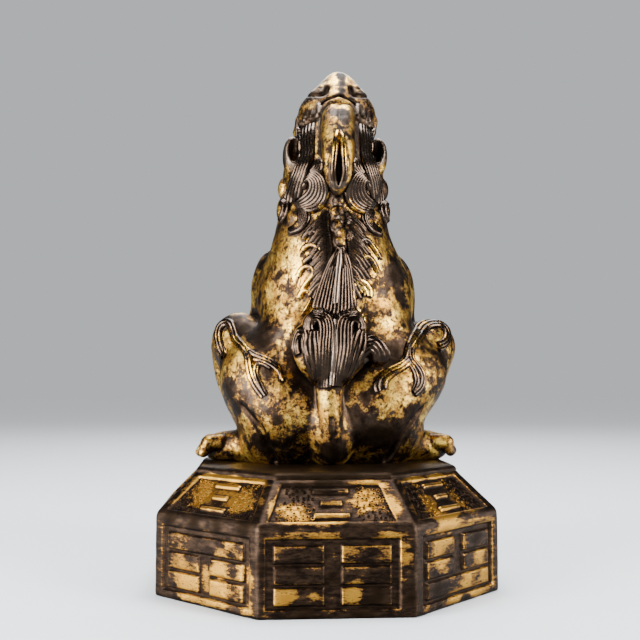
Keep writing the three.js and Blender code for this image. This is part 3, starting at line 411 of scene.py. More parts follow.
def horn(clay):
    """The horn lies back over the crown, with a slot along its keel and an arched foot."""
    core = [[1.5, 6, 10.2, 3.1], [1.5, 0, 11.8, 3.2], [1.5, -6, 12.2, 3.1], [1.5, -10.5, 12, 2.9]]
    tip = [[1.4, -14.4, 11, 2.5], [1, -17, 9.8, 2.1], [0.5, -18.8, 8.8, 1.5], [0, -20, 8, 0.9]]
    keel = [[0.5, -4.8, 15, 0.6], [1.3, -10, 14.8, 0.9], [1.8, -14, 13.4, 1.1], [1.7, -16.2, 12, 1.1]]
    slot = [[0, -5.4, 15.4, 0.2], [0, -10, 15, 0.4], [0, -14.4, 13.4, 0.7], [0, -16.8, 11.8, 0.8]]
    flange = [[4.9, 7, 7.6, 1.2], [5.5, 0, 8.6, 1.2], [5.4, -7, 9, 1.1], [4.4, -13, 8.6, 0.8]]
    limb(clay, eased([*core, *tip]), 0.5, head_frame)
    limb(clay, eased([*keel, [1.2, -18, 10.8, 1], [0.7, -19.2, 9.6, 0.8]]), 0.3, head_frame)
    limb(clay, eased([*slot, [0, -18.8, 10.2, 0.5]]), 0.2, head_frame, cuts=True)
    limb(clay, eased(flange), 0.5, head_frame)
    limb(clay, eased([[0, 11.6, 9.9, 1.2], [3.4, 10.4, 9, 1.2], [5.2, 7.2, 7.8, 1.2]]), 0.2, head_frame)
    arch = [[0, 13.2, 10.1, 0.7], [2.2, 12.9, 9.8, 0.7], [4.2, 11.6, 8.7, 0.7], [5.8, 8.8, 7.4, 0.6]]
    limb(clay, eased(arch), 0.15, head_frame, cuts=True)


BEARD_LOCKS = [
    [[0, 15.6, 90, 4], [0, 16.6, 82, 3.2], [0.8, 15.6, 75, 2.2], [0, 14.8, 69.5, 0.9]],
    [[5, 13.6, 88, 3.4], [5.6, 15, 81, 2.6], [4.2, 14.4, 75.6, 1.8], [4.8, 13.2, 71.6, 0.9]],
    [[8.6, 10, 86.5, 3], [9.2, 11.6, 80.6, 2.2], [7.8, 12, 76.6, 1.6], [8.6, 11, 73, 0.8]],
]


def beard(clay):
    for lock in BEARD_LOCKS:
        limb(clay, eased(lock), 0.5)


for form in (skull, nose, jaws, eyes_and_brows, ear, horn, beard):
    form(half_clay)
print("head pitched up by", HEAD_PITCH, "degrees")

# %% [markdown]
# ## Mane, spine and tail
# The mane falls in locks that end in snail curls beside the neck, and a knobbed ridge runs down to
# the tail. The tail stands up the back: a smooth stem, then a tuft whose locks roll over at their
# ends, then a long plume that tapers to a point between the shoulder blades. The tuft isn't alike
# on both sides, so from here on the whole grid is used.

# %% Locks, curls and the standing tail
# Each lock at the neck: its place, its three radii and its lean in degrees.
LOCKS = [
    [14.2, -4.4, 71.6, 2.4, 3.2, 3.8, 10],
    [14.2, -1.4, 79.4, 2.2, 3.2, 3.6, 0],
    [14.3, 3.8, 74.6, 2.2, 3.2, 3.6, 0],
    [13.6, 5.6, 81.4, 2.4, 3.2, 3.6, 0],
    [12.4, 9, 75.2, 2.8, 2.8, 3.6, -10],
]


def mane(clay):
    for x, y, z, across, deep, tall, lean in LOCKS:
        swelling(clay, place(x, y, z, 0, lean, 0), [across, deep, tall], 0.5)
    swelling(clay, place(7.2, -9.6, 76.2, 0, 12, 24), [4.6, 3.9, 5.8], 0.4)
    swelling(clay, place(10.6, -8.4, 68.2, 0, 24, 20), [2.7, 3, 4], 0.4)
    swelling(clay, place(5.9, -12.2, 82.8, 0, 10, 0), [1.8, 2.2, 2.5], 0.3)
    swelling(clay, back_frame(clay, 8.4, 78.1), [0.8, 1.1, 1.6], 0.2, cuts=True)


def tail(clay):
    swelling(clay, place(0, -12.5, 12), [8.4, 9.4, 13.2], 0.8)
    stem = [[0, -17.8, 4, 2.8], [0, -20, 9, 2.8], [0, -20.8, 16, 3.1], [0, -21, 22.6, 3.7]]
    plume = [[1.9, -16.8, 38, 4.6], [1.5, -16.9, 45, 3.9], [0.8, -16.2, 52, 3], [0, -15.4, 59.4, 1.2]]
    limb(clay, eased(stem), 0.6)
    limb(clay, eased(plume), 0.6)
    swelling(clay, place(0, -19.6, 31.6), [7.6, 5.2, 9.4], 1)
    groove = [[0, -23.6, 13, 0.3], [0, -22.9, 7, 0.5], [0, -21, 2, 0.5]]
    limb(clay, groove, 0.5, cuts=True)


# %% The uneven tuft and the spine's knobs
# Each lobe of the tuft is one limb, and each hollow is the eye of a curl.
TUFT_LOBES = [
    [[-1.8, -21, 22.4, 2], [-3.2, -22.3, 27, 3], [-4, -22.7, 32, 3.6], [-4.6, -22.2, 38, 4]],
    [[1.8, -21, 22.4, 2], [3.4, -22.3, 27, 3], [4.2, -22.7, 32, 3.6], [4.9, -22.2, 37.9, 3.8]],
    [[-3.6, -20.8, 24, 1.8], [-6.2, -21.3, 28.2, 2.8], [-7.6, -20.8, 32.4, 3.1], [-7.4, -20, 35.6, 2.9]],
    [[4.2, -20.8, 25, 1.8], [7.4, -21.3, 29.6, 2.4], [10, -21, 32.4, 2.6], [11.6, -20.6, 31.4, 2.1],
     [12, -20.4, 29, 1.7]],
]
TUFT_EYES = [[-4.8, 37.7, 1], [5.4, 38, 1], [9.6, 28.3, 1.3]]
# The spine's knobs: x, z and size.
SPINE_KNOBS = [
    [0.4, 73.2, 1.7], [0.3, 70.2, 1.9], [1.7, 68, 1.5], [0, 66, 1.7], [1.4, 63.6, 1.8],
    [0.2, 61.2, 1.6],
]


def tuft(clay):
    for lobe in TUFT_LOBES:
        limb(clay, eased(lobe), 1)
    for x, z, size in TUFT_EYES:
        swelling(clay, back_frame(clay, x, z), [size, size * 1.35, 1.8], 0.25, cuts=True)
    for x, z, size in SPINE_KNOBS:
        swelling(clay, back_frame(clay, x, z), [size, size * 1.1, size * 0.8], 0.4)


mane(half_clay)
tail(half_clay)
skin = half_clay.whole()
tuft(skin)
print("whole grid of", skin.values.size, "samples")

# %% [markdown]
# ## How the beast stands
# It isn't a mirror image of itself: it leans a little to its right, its right knee is lower, and
# the tail stands straight while the body leans. One warp does all of that after modelling, which
# keeps every shape above easy to place.

# %% The warp from shape to stance
PLINTH_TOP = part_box("plinth")[1].z / MM
# Height and how far across it is moved there, for the whole beast and for what stands behind it.
LEAN = [(0, 1), (40, 3.4), (55, 3.2), (66, 2.4), (80, 2.7), (93, 3), (104, 3.9), (115, 4.7)]
KNEE_DROP = 2.1
SHIN_TUCK = 1.0
HEEL_OUT = 1.6
TAIL_LEAN = [(0, 0.8), (10, -0.7), (20, -2.2), (40, -2.3), (52, -0.7), (60, 0.4), (68, 0)]


def ease(t):
    u = np.clip(t, 0, 1)
    return u * u * (3 - 2 * u)


def posed(points):
    """Points of the clay where they are on the standing beast, in mm on the frame."""
    x, y, z = np.asarray(points, float).T
    lean = np.full(len(x), float(LEAN[0][1]))
    for (low, a), (high, b) in zip(LEAN, LEAN[1:]):
        lean += (b - a) * ease((z - low) / (high - low))
    right = ease((x - 19) / 8)
    knee = right * ease((z - 10) / 20) * ease((56 - z) / 12)
    ankle = right * ease((z - 5) / 7) * ease((32 - z) / 16)
    heel = right * ease((14 - z) / 6) * ease((z + 1) / 5) * ease((31 - x) / 6)
    behind = ease((-y - 15) / 4) * ease((17 - np.abs(x)) / 5)
    lean += behind * np.interp(z, *zip(*TAIL_LEAN))
    across = x + lean - SHIN_TUCK * ankle + HEEL_OUT * heel
    return np.column_stack([across, y, z - KNEE_DROP * knee + PLINTH_TOP])


print("the plinth's top is at", round(PLINTH_TOP, 2), "mm")

# %% [markdown]
# ## From distances to a skin
# The skin lies where the distance is nought. Surface nets put one point in each cell that it
# crosses and join neighbours into four-sided faces, which gives an even mesh without slivers. The
# points are then slid exactly on to the form.

# %% Surface nets
EDGES = [((0, 0, 0), (1, 0, 0)), ((0, 1, 0), (1, 1, 0)), ((0, 0, 1), (1, 0, 1)), ((0, 1, 1), (1, 1, 1)),
         ((0, 0, 0), (0, 1, 0)), ((1, 0, 0), (1, 1, 0)), ((0, 0, 1), (0, 1, 1)), ((1, 0, 1), (1, 1, 1)),
         ((0, 0, 0), (0, 0, 1)), ((1, 0, 0), (1, 0, 1)), ((0, 1, 0), (0, 1, 1)), ((1, 1, 0), (1, 1, 1))]


def surface_of(clay, rounds=2):
    """The clay's skin as points and four-sided faces."""
    d = clay.values.copy()
    for axis in range(3):  # a shape that runs off the grid is closed at its edge
        edge = [slice(None)] * 3
        for end in (0, -1):
            edge[axis] = end
            d[tuple(edge)] = np.maximum(d[tuple(edge)], 0.2)
    inside = d < 0
    count = np.zeros([n - 1 for n in d.shape], np.int8)
    for corner in range(8):
        bits = [(corner >> axis) & 1 for axis in range(3)]
        count += inside[tuple(slice(b, n - 1 + b) for b, n in zip(bits, d.shape))]
    active = (count > 0) & (count < 8)
    number = np.full(active.shape, -1, np.int64)
    cells = np.argwhere(active)
    number[active] = np.arange(len(cells))
    total, crossings = np.zeros((len(cells), 3)), np.zeros(len(cells))
    for start, end in EDGES:
        a, b = np.array(start), np.array(end)
        da = d[tuple((cells + a).T)]
        db = d[tuple((cells + b).T)]
        crossed = (da < 0) != (db < 0)
        share = da[crossed] / (da[crossed] - db[crossed])
        total[crossed] += a + share[:, None] * (b - a)
        crossings[crossed] += 1
    local = total / crossings[:, None]
    points = np.column_stack([
        np.interp(cells[:, n] + local[:, n], np.arange(len(clay.axes[n])), clay.axes[n]) for n in range(3)
    ])
    quads = []
    for axis in range(3):
        p, q = [(1, 2), (2, 0), (0, 1)][axis]
        first = [slice(None)] * 3
        second = [slice(None)] * 3
        first[axis], second[axis] = slice(0, -1), slice(1, None)
        change = inside[tuple(first)] != inside[tuple(second)]
        spots = np.argwhere(change)
        keep = (spots[:, p] > 0) & (spots[:, q] > 0)
        spots = spots[keep]
        back = [np.zeros(3, int) for _ in range(4)]
        back[1][p] = back[2][p] = back[2][q] = back[3][q] = 1
        ring = np.stack([number[tuple((spots - b).T)] for b in back], 1)
        leaving = inside[tuple(spots.T)]
        ring[~leaving] = ring[~leaving][:, ::-1]
        quads.append(ring)
    quads = np.concatenate(quads)
    for _ in range(rounds):
        points = slid(clay, evened(points, quads))
    return points, quads


def evened(points, faces):
    """Each point moved halfway to the middle of its neighbours."""
    total, shares = np.zeros_like(points), np.zeros(len(points))
    for n in range(4):
        a, b = faces[:, n], faces[:, (n + 1) % 4]
        for one, other in ((a, b), (b, a)):
            for axis in range(3):
                total[:, axis] += np.bincount(one, points[other, axis], len(points))
            shares += np.bincount(one, minlength=len(points))
    return 0.5 * points + 0.5 * total / np.maximum(shares, 1)[:, None]


def slid(clay, points):
    """Points moved on to the skin."""
    out = clay.slope(points)
    reach = np.clip(clay.at(points) / np.maximum((out ** 2).sum(1), 0.05), -0.6, 0.6)
    return points - reach[:, None] * out


skin_points, skin_faces = surface_of(skin)
print("skin of", len(skin_faces), "four-sided faces")

# %% [markdown]
# ## What the finish has to know
# Gilding wears where hands and cloths rub, on edges and swellings, and hollows are painted dark as
# shade. So each point of the skin carries two numbers, worked out from the clay: how shut in it is,
# which sets that painted shade, and how far it stands out. A third one marks the larger bare and gilt
# areas that the real casting shows.
# Those are listed as soft spots, because they tell of this one object's handling and not of a rule.

# %% Bare and gilt patches on the beast
# Places on the standing figure: x, y, z, radius, amount. Over nought is bare bronze, under nought
# is well gilt.
BACK_PATCHES = [
    (-19, -2, 80, 3, 0.4), (-13, -11, 86, 3.5, 0.4), (-9, -15, 82, 6, -0.9), (-11, -12, 74, 4.5, -0.8),
    (-8, -24, 65, 3.5, -0.7), (-16, -4, 92, 4.5, -0.6), (-18, -10, 71, 2.5, 0.7), (19, -12, 86, 4, 1.1),
    (21, -11, 80, 3, 0.8), (15, -15, 82, 4.5, -1.1), (19, -12, 74, 4, -0.8), (26, 1, 85, 3, -0.5),
    (26, 3, 92, 3, 0.3), (-7, -19, 59, 4, -0.6), (-8, -21, 54, 3.5, -0.9), (-6, -20, 44, 2.4, -0.7),
    (-14, -21, 46, 2, 1.1), (-16, -20, 53, 3, -0.1), (-11, -21, 50, 2.5, -0.4),
    # The two gilt spots at z 54 and 48 on the tail's stem are made large and strong: partly the stem's real
    # gilding, partly a painted highlight.
    (-2, -22, 54, 3.2, -1.7), (-2.4, -21, 48, 3, -1.5), (7, -20, 47, 2.6, 0.6),
    (1.2, -21, 36.8, 4.3, 1.1), (3, -25, 54, 1.6, -0.4), (10, -20, 52, 2.6, 0.8), (13, -20, 55, 3, 0.3),
    (15, -21, 48, 3.4, -0.2), (5, -21, 43, 1.8, -0.7), (13, -19, 42, 4.5, 1.1), (18, -18, 42, 4, 0.8),
    (-9, -18, 40, 3.5, -0.8), (-16, -16, 43, 3.5, -0.7),
]
LEG_PATCHES = [
    (-23, -6, 72, 3, 1.2), (-20, -11, 69, 3, 1.3), (-18, -15, 67, 2.6, 1.2), (-27, -9, 66, 3.2, -0.7),
    (-22, -17, 59, 3.2, -0.8), (-30, -6, 63, 2.6, 0.8), (-28, -12, 55, 2.6, 0.8),
    (-25, -14, 49, 2.4, 0.5), (-29, 0, 74, 2.5, 0.8), (-25, -2, 75, 2.5, 0.9), (-17, -19, 59, 2.2, 0.8),
    (-22, -16, 48, 2.4, -0.6), (-19, -15, 40, 2.6, 1), (-24, -4, 39, 3, -1), (-32, -4, 39, 2.4, -0.4),
    (19, -17, 65, 3.5, 0.8), (34, -8, 63, 3, 0.9), (28, -15, 64, 2.8, -0.7), (31, -11, 53, 2.8, 0.3),
    (25, -18, 55, 2.5, 0.5), (23, -18, 48, 3, 0.7), (25, -4, 39, 3.2, -0.8), (35, -4, 40, 2.5, -0.8),
    (20, -20, 56, 2.5, -0.1), (33, -2, 73, 2.5, 0.4),
]
HEAD_PATCHES = [
    (1.5, -0.5, 144.7, 3.2, -1.3), (9.4, 0.3, 144.5, 3.2, -1.2), (-4.1, -3.9, 138.6, 2.6, -1.1),
    (10.9, -5, 138.3, 2.6, -1), (1.2, -4.2, 139.8, 3, -1.2), (7.2, -3.6, 140.4, 2.6, -1),
    (-4.2, -6.4, 134.3, 2.5, 0.8), (10.7, -6.7, 134.1, 2.5, 0.9), (4.6, -13.6, 132.6, 2.4, 1.3),
    (4.9, -16, 129.6, 1.5, 1.3), (0.1, -15.5, 128.7, 3.2, -1.1), (1.5, -19, 125.5, 2.2, -0.8),
    (6.3, -16, 127.8, 2, -0.6), (-0.5, -20.4, 120.3, 2.6, -1), (5.8, -20.9, 119.4, 2.2, -0.8),
    (2.4, -21.7, 112.8, 3.2, 1), (-5, -10, 126.4, 3.2, -0.5), (-7.4, -6.4, 126.8, 1.7, -0.9),
    (-11.2, -7.5, 118.5, 2.6, -1.3), (11.3, -9.3, 126.9, 3.2, 1), (15.7, -8.4, 118.7, 2.2, -0.9),
    (-10.1, -9.4, 111.7, 4, 0.5), (2.5, -17, 108.2, 2, -0.8), (2.1, -17.7, 101.6, 2.6, -1.1),
    (3.2, -18.6, 97.8, 2.2, -0.9), (-12.6, -9.2, 96.4, 3.5, -0.9), (17.4, -4.5, 112.5, 3.5, 0.6),
    (0.4, -16.1, 108.1, 1.6, -1.2), (-1.6, -14.6, 105.3, 1.8, -1.3), (-4.5, -14, 103.3, 1.8, -1.3),
    (-8.4, -13.7, 100.4, 1.8, -1.2), (6.2, -15, 107.5, 1.6, -1.2), (7.7, -14.6, 105.1, 1.8, -1.2),
    (9.9, -13.8, 103.8, 1.8, -1.2), (12.1, -13.5, 101.4, 1.8, -1.1), (5.2, 1, 148.8, 1.4, 2.4),
    (5.2, -0.5, 147.2, 1.2, 2.4), (5.2, -2.3, 144.9, 1.2, 2.4), (5.1, -4.1, 142.4, 1.2, 2.4),
    (5, -5.3, 140.4, 1.2, 2.4),
]


# %% Bare and gilt patches on the plinth
HALF_ACROSS, WALL_HEIGHT = 46.2, 21.6
SLOPE_CLIMB = 0.7  # how far a step up the slope goes upwards and inwards


def on_plinth(side, u, v, slope=False):
    """A place u across and v up one of the plinth's faces."""
    turn, out = side * math.pi / 4, HALF_ACROSS - (SLOPE_CLIMB * v if slope else 0)
    z = WALL_HEIGHT + SLOPE_CLIMB * v if slope else v
    return u * math.cos(turn) + out * math.sin(turn), u * math.sin(turn) - out * math.cos(turn), z


# On the walls: side, u, v, radius, amount. The same on the slopes. Side 0 faces the camera.
WALL_PATCHES = [
    (0, -9, 13, 6, 0.5), (0, 9, 13, 6, 0.4), (0, 17, 15.3, 3, -0.3), (0, 17.6, 4.5, 3.5, 0.9),
    (0, -18.6, 12, 4, 0.9), (0, -13.8, 4.8, 2.6, -1.1), (0, -11, 5.6, 2.2, -0.8),
    (0, -5.6, 5.0, 1.7, -0.8), (0, -9, 15.5, 2, -0.4), (0, 3.4, 5.6, 2, -1.2), (0, 5.2, 4.8, 1.6, -0.8),
    (0, 10, 5.5, 3.2, 0.8), (0, 11, 14.3, 2, -0.2), (0, 8.6, 10, 2.2, -0.2), (0, -1.1, 9.5, 3.5, 0.8),
    (0, -8, 0.6, 6, 0.9), (0, 6, 0.6, 6, 0.9), (0, 4, 21.4, 5, 0.7), (0, -10, 21.4, 4, -0.1),
    (0, 12, 20.8, 3, -0.4), (7, -7, 5, 5, -0.8), (7, 5, 5, 5, -0.8), (7, 6, 10, 4, -0.7),
    (7, -9, 9.6, 3, -0.6), (7, 0, 15.6, 6, 0.45), (7, 15.5, 10, 4, -0.9), (7, 15.5, 3, 3, -0.7),
    (7, 0, 9, 2.4, -0.7), (7, 0, 18, 3, -0.5), (7, 9, 18, 3, -0.4), (7, -13, 21.2, 4.5, 1.1),
    (7, -4, 21.2, 4.5, 1.1), (7, 5, 21.2, 4.5, 1.1), (7, 14, 21.2, 4.5, 1.2), (7, -13, 0.8, 4, 0.5),
    (7, 0, 0.8, 4, -0.3), (7, 12, 0.6, 3, 0.5), (1, -9.4, 15, 3.2, -0.5), (1, 8, 15.7, 4, 1.0),
    (1, 9.4, 11, 2.6, -0.9), (1, 4.5, 10.8, 1.6, 0.5), (1, -9.8, 5.4, 4, 0.9), (1, 3.3, 5.1, 2.4, -1.0),
    (1, 12, 5.4, 2.4, -0.8), (1, -8.6, 10.9, 3, -0.6), (1, -2, 0.8, 3, -0.7), (1, 8, 0.8, 2.4, -0.8),
    (1, 2.4, 0.8, 2, 0.8), (1, -6.5, 20.6, 5, -0.7), (1, 6, 19.8, 4, -0.4),
]
SLOPE_PATCHES = [
    (7, -7, 7, 8, -0.9), (7, 7, 7, 8, -0.9), (7, 0, 14.4, 5, -0.9), (7, -9, 14, 4, -0.9),
    (7, 9, 14, 3, -0.6), (0, -9, 11.4, 3.6, 1.2), (0, -3, 12.5, 2.6, 0.9), (0, 7, 8.4, 6, -1.0),
    (0, -10, 5, 5, -0.9), (0, 9, 3.4, 2.6, 0.6), (0, 14.5, 6, 2.6, -0.7), (0, 0, 1, 8, -0.3),
    (0, 0, 15.4, 7, 0.9), (0, -14.5, 6, 2.4, -0.5), (0, 1, 6, 4, -0.5), (1, -6, 7, 5, -0.7),
    (1, 6, 7, 5, -0.6), (1, -6, 14.4, 3, -0.9), (1, 4, 14.4, 3, -0.8), (1, -4, 1, 5, -0.8),
    (1, 8, 1.2, 4, -0.4),
]
PLINTH_PATCHES = [(*on_plinth(*spot[:3]), *spot[3:]) for spot in WALL_PATCHES]
PLINTH_PATCHES += [(*on_plinth(*spot[:3], slope=True), *spot[3:]) for spot in SLOPE_PATCHES]
PATCHES = BACK_PATCHES + LEG_PATCHES + HEAD_PATCHES
print(len(PATCHES), "patches on the beast and", len(PLINTH_PATCHES), "on the plinth")


# %% Marks for hollows, edges and patches
def marks(clay, points, normals):
    """How shut in each point is, by the room outside it, which the finish paints as shade, and how proud,
    by the metal behind it.
    """
    hollow = np.zeros(len(points))
    for reach, weight in ((0.7, 0.3), (1.5, 0.4), (2.4, 0.3)):
        free = clay.at(points + normals * reach) / reach
        hollow += weight * np.clip(1 - free, 0, 1)
    proud = np.zeros(len(points))
    for reach, weight in ((0.9, 0.5), (1.8, 0.5)):
        thick = -clay.at(points - normals * reach) / reach
        proud += weight * np.clip(1 - thick, 0, 1)
    return np.clip(hollow, 0, 1), np.clip(proud, 0, 1)


def bare_marks(places, patches=PATCHES):
    """The patches added up at each place, in soft round spots."""
    total = np.zeros(len(places))
    for x, y, z, radius, amount in patches:
        away = np.linalg.norm(places - (x, y, z), axis=1) / radius
        total += amount * np.exp(-1.5 * away ** 2)
    return np.clip(total, -1, 1)


def mark(mesh, fields):
    """One number a point for each named field, kept on the mesh for the materials to read."""
    for field, numbers in fields.items():
        layer = mesh.attributes.get(field) or mesh.attributes.new(field, "FLOAT", "POINT")
        layer.data.foreach_set("value", np.asarray(numbers, np.float32))


def marked(mesh, field):
    numbers = np.empty(len(mesh.vertices))
    mesh.attributes[field].data.foreach_get("value", numbers)
    return numbers


# %% Meshes and objects
def new_object(name, mesh):
    piece = bpy.data.objects.new(name, mesh)
    bpy.context.collection.objects.link(piece)
    return piece


def new_piece(name, points, faces, fields):
    """A mesh in mm made an object in metres, with its marks."""
    mesh = bpy.data.meshes.new(name)
    mesh.from_pydata((np.asarray(points) * MM).tolist(), [], [list(map(int, f)) for f in faces])
    mark(mesh, fields)
    mesh.polygons.foreach_set("use_smooth", np.ones(len(mesh.polygons), bool))
    mesh.update()
    return new_object(name, mesh)


def triangles_of(piece):
    return sum(len(face.vertices) - 2 for face in piece.data.polygons)


def plain_mesh(piece):
    """The evaluated shape as the piece's own mesh, with its modifiers gone."""
    shown = piece.evaluated_get(bpy.context.evaluated_depsgraph_get())
    mesh = bpy.data.meshes.new_from_object(shown)
    piece.modifiers.clear()
    piece.data = mesh


def points_and_normals(mesh):
    count = len(mesh.vertices)
    points, normals = np.empty(3 * count), np.empty(3 * count)
    mesh.vertices.foreach_get("co", points)
    mesh.vertex_normals.foreach_get("vector", normals)
    return points.reshape(-1, 3), normals.reshape(-1, 3)


def placed(mesh, points):
    """The mesh's points set to the given places in mm."""
    mesh.vertices.foreach_set("co", (points * MM).ravel())
    mesh.update()


# %% The figure's mesh, thinned, marked and posed
FACE_LIMIT = 190000
# A laid line's middle stands over the skin by this share of its thickness. Its foot is painted dark as
# shade up to one share of its full height, and its crest is painted light from another share on, as
# rubbed wear and as a highlight.
LINE_RISE = 0.3
FOOT_SHADE, FOOT_END, CREST_START = 0.95, 0.75, 0.6


def thinned(piece):
    """Flat stretches give up faces until the piece is under its limit."""
    triangles = triangles_of(piece)
    if triangles > FACE_LIMIT:
        fold = piece.modifiers.new("fewer faces", "DECIMATE")
        fold.ratio = FACE_LIMIT / triangles
        plain_mesh(piece)


def dressed(piece, clay, raised=False):
    """Marks a mesh that is still in clay units, then moves it to its stance in metres."""
    points, normals = points_and_normals(piece.data)
    if raised:
        height = clay.at(points) / ((1 + LINE_RISE) * marked(piece.data, "thickness"))
        # The line's foot is painted dark as shade, and its crest gets the light rubbed colour, partly a
        # painted highlight.
        hollow = FOOT_SHADE * ease(1 - height / FOOT_END)
        proud = ease((height - CREST_START) / (1 - CREST_START))
    else:
        hollow, proud = marks(clay, points, normals)
    places = posed(points)
    mark(piece.data, {"hollow": hollow, "proud": proud, "bare": bare_marks(places)})
    placed(piece.data, places)


# The skin stays in clay units until dressed() moves it, so new_piece's change to metres is undone.
figure = new_piece("gilt_pixiu", skin_points / MM, skin_faces, {})
thinned(figure)
dressed(figure, skin)
print("figure of", triangles_of(figure), "triangles")

# %% [markdown]
# ## Worn gilding
# Real gilt bronze is two metals: pale yellow gold, grainy and thin, over bronze that has gone dark
# brown. The boundary is ragged at every size, from thumb-wide patches down to specks, so several
# noises are added before one sharp threshold picks gold or bronze. Fine pores let bronze through the
# gold even where it is thick. Bare patches are darkest in their hearts, and handling leaves other
# bronze greyer and rubs edges light; on the crests of laid lines that light colour is also a painted
# highlight. Hollows are painted near black as shade. All of it is one node group, because the beast,
# its hair and the plinth use it with their own amounts.

# %% Node helpers
def add(tree, kind, links=None, **settings):
    """A node with its settings, and with each named input linked to a socket or set to a value."""
    node = tree.nodes.new(kind)
    for key, value in settings.items():
        setattr(node, key, value)
    for socket, value in (links or {}).items():
        if isinstance(value, bpy.types.NodeSocket):
            tree.links.new(value, node.inputs[socket])
        else:
            node.inputs[socket].default_value = value
    return node


def maths(tree, operation, first, second=None, clamp=False):
    links = {0: first}
    if second is not None:
        links[1] = second
    return add(tree, "ShaderNodeMath", links, operation=operation, use_clamp=clamp).outputs[0]


def noise(tree, vector, scale, detail=4.0, roughness=0.6, distortion=0.0):
    links = {"Vector": vector, "Scale": scale, "Detail": detail, "Roughness": roughness,
             "Distortion": distortion}
    return add(tree, "ShaderNodeTexNoise", links).outputs["Fac"]


def ramp(tree, value, low, high, to_low=0.0, to_high=1.0):
    links = {"Value": value, "From Min": low, "From Max": high, "To Min": to_low, "To Max": to_high}
    node = add(tree, "ShaderNodeMapRange", links, interpolation_type="SMOOTHSTEP")
    return node.outputs["Result"]


def mixed(tree, share, first, second):
    """The first colour passing into the second as the share grows."""
    node = add(tree, "ShaderNodeMix", {0: share}, data_type="RGBA")
    for socket, value in ((6, first), (7, second)):
        if isinstance(value, bpy.types.NodeSocket):
            tree.links.new(value, node.inputs[socket])
        else:
            node.inputs[socket].default_value = (*value, 1)
    return node.outputs[2]


def new_group(kind, name, inputs, outputs):
    """A node tree, its input and output nodes, and its inputs' identifiers."""
    tree = bpy.data.node_groups.new(name, kind)
    sockets = {}
    for label, socket_kind, value in inputs:
        socket = tree.interface.new_socket(label, in_out="INPUT", socket_type=socket_kind)
        if value is not None:
            socket.default_value = value
        sockets[label] = socket.identifier
    for label, socket_kind in outputs:
        tree.interface.new_socket(label, in_out="OUTPUT", socket_type=socket_kind)
    return tree, tree.nodes.new("NodeGroupInput"), tree.nodes.new("NodeGroupOutput"), sockets


# %% The gilding group: where gold is left
VECTOR, FLOAT, COLOUR = "NodeSocketVector", "NodeSocketFloat", "NodeSocketColor"
gilding, given, made, _ = new_group(
    "ShaderNodeTree", "worn_gilding",
    [("Place", VECTOR, None), ("Gilt", FLOAT, 0.5), ("Hollow", FLOAT, 0.0), ("Proud", FLOAT, 0.0),
     ("Bare", FLOAT, 0.0), ("Polish", FLOAT, 0.5), ("Matt", FLOAT, 0.38), ("Pale", FLOAT, 1.0)],
    [("Colour", COLOUR), ("Gold", FLOAT), ("Roughness", FLOAT), ("Height", FLOAT)],
)
spot = given.outputs["Place"]
hollows, edges = given.outputs["Hollow"], given.outputs["Proud"]
ragged = noise(gilding, spot, 0.42, 7, 0.68)
specks = noise(gilding, spot, 2.6, 3, 0.7)


def swing(value, amount):
    """A number round a half turned into one round nought, that many times as large."""
    return maths(gilding, "MULTIPLY", maths(gilding, "SUBTRACT", value, 0.5), amount)


amount = swing(given.outputs["Gilt"], 1.0)
patches = noise(gilding, spot, 0.085, 5, 0.62, 0.4)
for field, weight in ((patches, 1.3), (ragged, 1.25), (specks, 0.8)):
    amount = maths(gilding, "ADD", amount, swing(field, weight))
pores = ramp(gilding, noise(gilding, spot, 1.3, 6, 0.75), 0.53, 0.64)
# Gold is taken off in hollows as part of their painted shade, on proud edges as wear, and in bare patches
# and pores.
for field, weight in ((hollows, 0.9), (edges, 0.5), (given.outputs["Bare"], 0.75), (pores, 0.75)):
    amount = maths(gilding, "SUBTRACT", amount, maths(gilding, "MULTIPLY", field, weight))
gold = ramp(gilding, amount, -0.04, 0.05)

# %% The gilding group: the colours of the two metals
DEEP_GOLD, BRIGHT_GOLD, THIN_GOLD = (0.50, 0.24, 0.028), (0.95, 0.62, 0.11), (0.22, 0.10, 0.018)
DARK_BRONZE, BROWN_BRONZE = (0.016, 0.010, 0.007), (0.058, 0.034, 0.020)
# RUBBED_EDGE_AND_HIGHLIGHT is the light colour of rubbed edges; on the crests of laid lines it also stands
# in for a painted highlight.
GREY_BRONZE, RUBBED_EDGE_AND_HIGHLIGHT = (0.15, 0.112, 0.082), (0.36, 0.265, 0.20)
# PAINTED_SHADE_COLOUR is the near black painted into hollows and grooves as shade; PATINA is the bare
# bronze's own darkest tone.
PAINTED_SHADE_COLOUR, PATINA = (0.006, 0.004, 0.003), (0.010, 0.006, 0.003)

tone = ramp(gilding, noise(gilding, spot, 0.25, 5, 0.6), 0.36, 0.6)
tone = maths(gilding, "MULTIPLY", tone, given.outputs["Pale"])
gold_colour = mixed(gilding, tone, DEEP_GOLD, BRIGHT_GOLD)
gold_colour = mixed(gilding, ramp(gilding, amount, 0.0, 0.3), THIN_GOLD, gold_colour)
bronze_colour = mixed(gilding, ramp(gilding, ragged, 0.38, 0.66), DARK_BRONZE, BROWN_BRONZE)
handled = ramp(gilding, noise(gilding, spot, 0.14, 6, 0.65, 0.3), 0.5, 0.64)
handled = maths(gilding, "MULTIPLY", handled, given.outputs["Polish"])
unhandled = maths(gilding, "SUBTRACT", 1.0, given.outputs["Bare"], clamp=True)
handled = maths(gilding, "MULTIPLY", handled, unhandled)
bronze_colour = mixed(gilding, handled, bronze_colour, GREY_BRONZE)
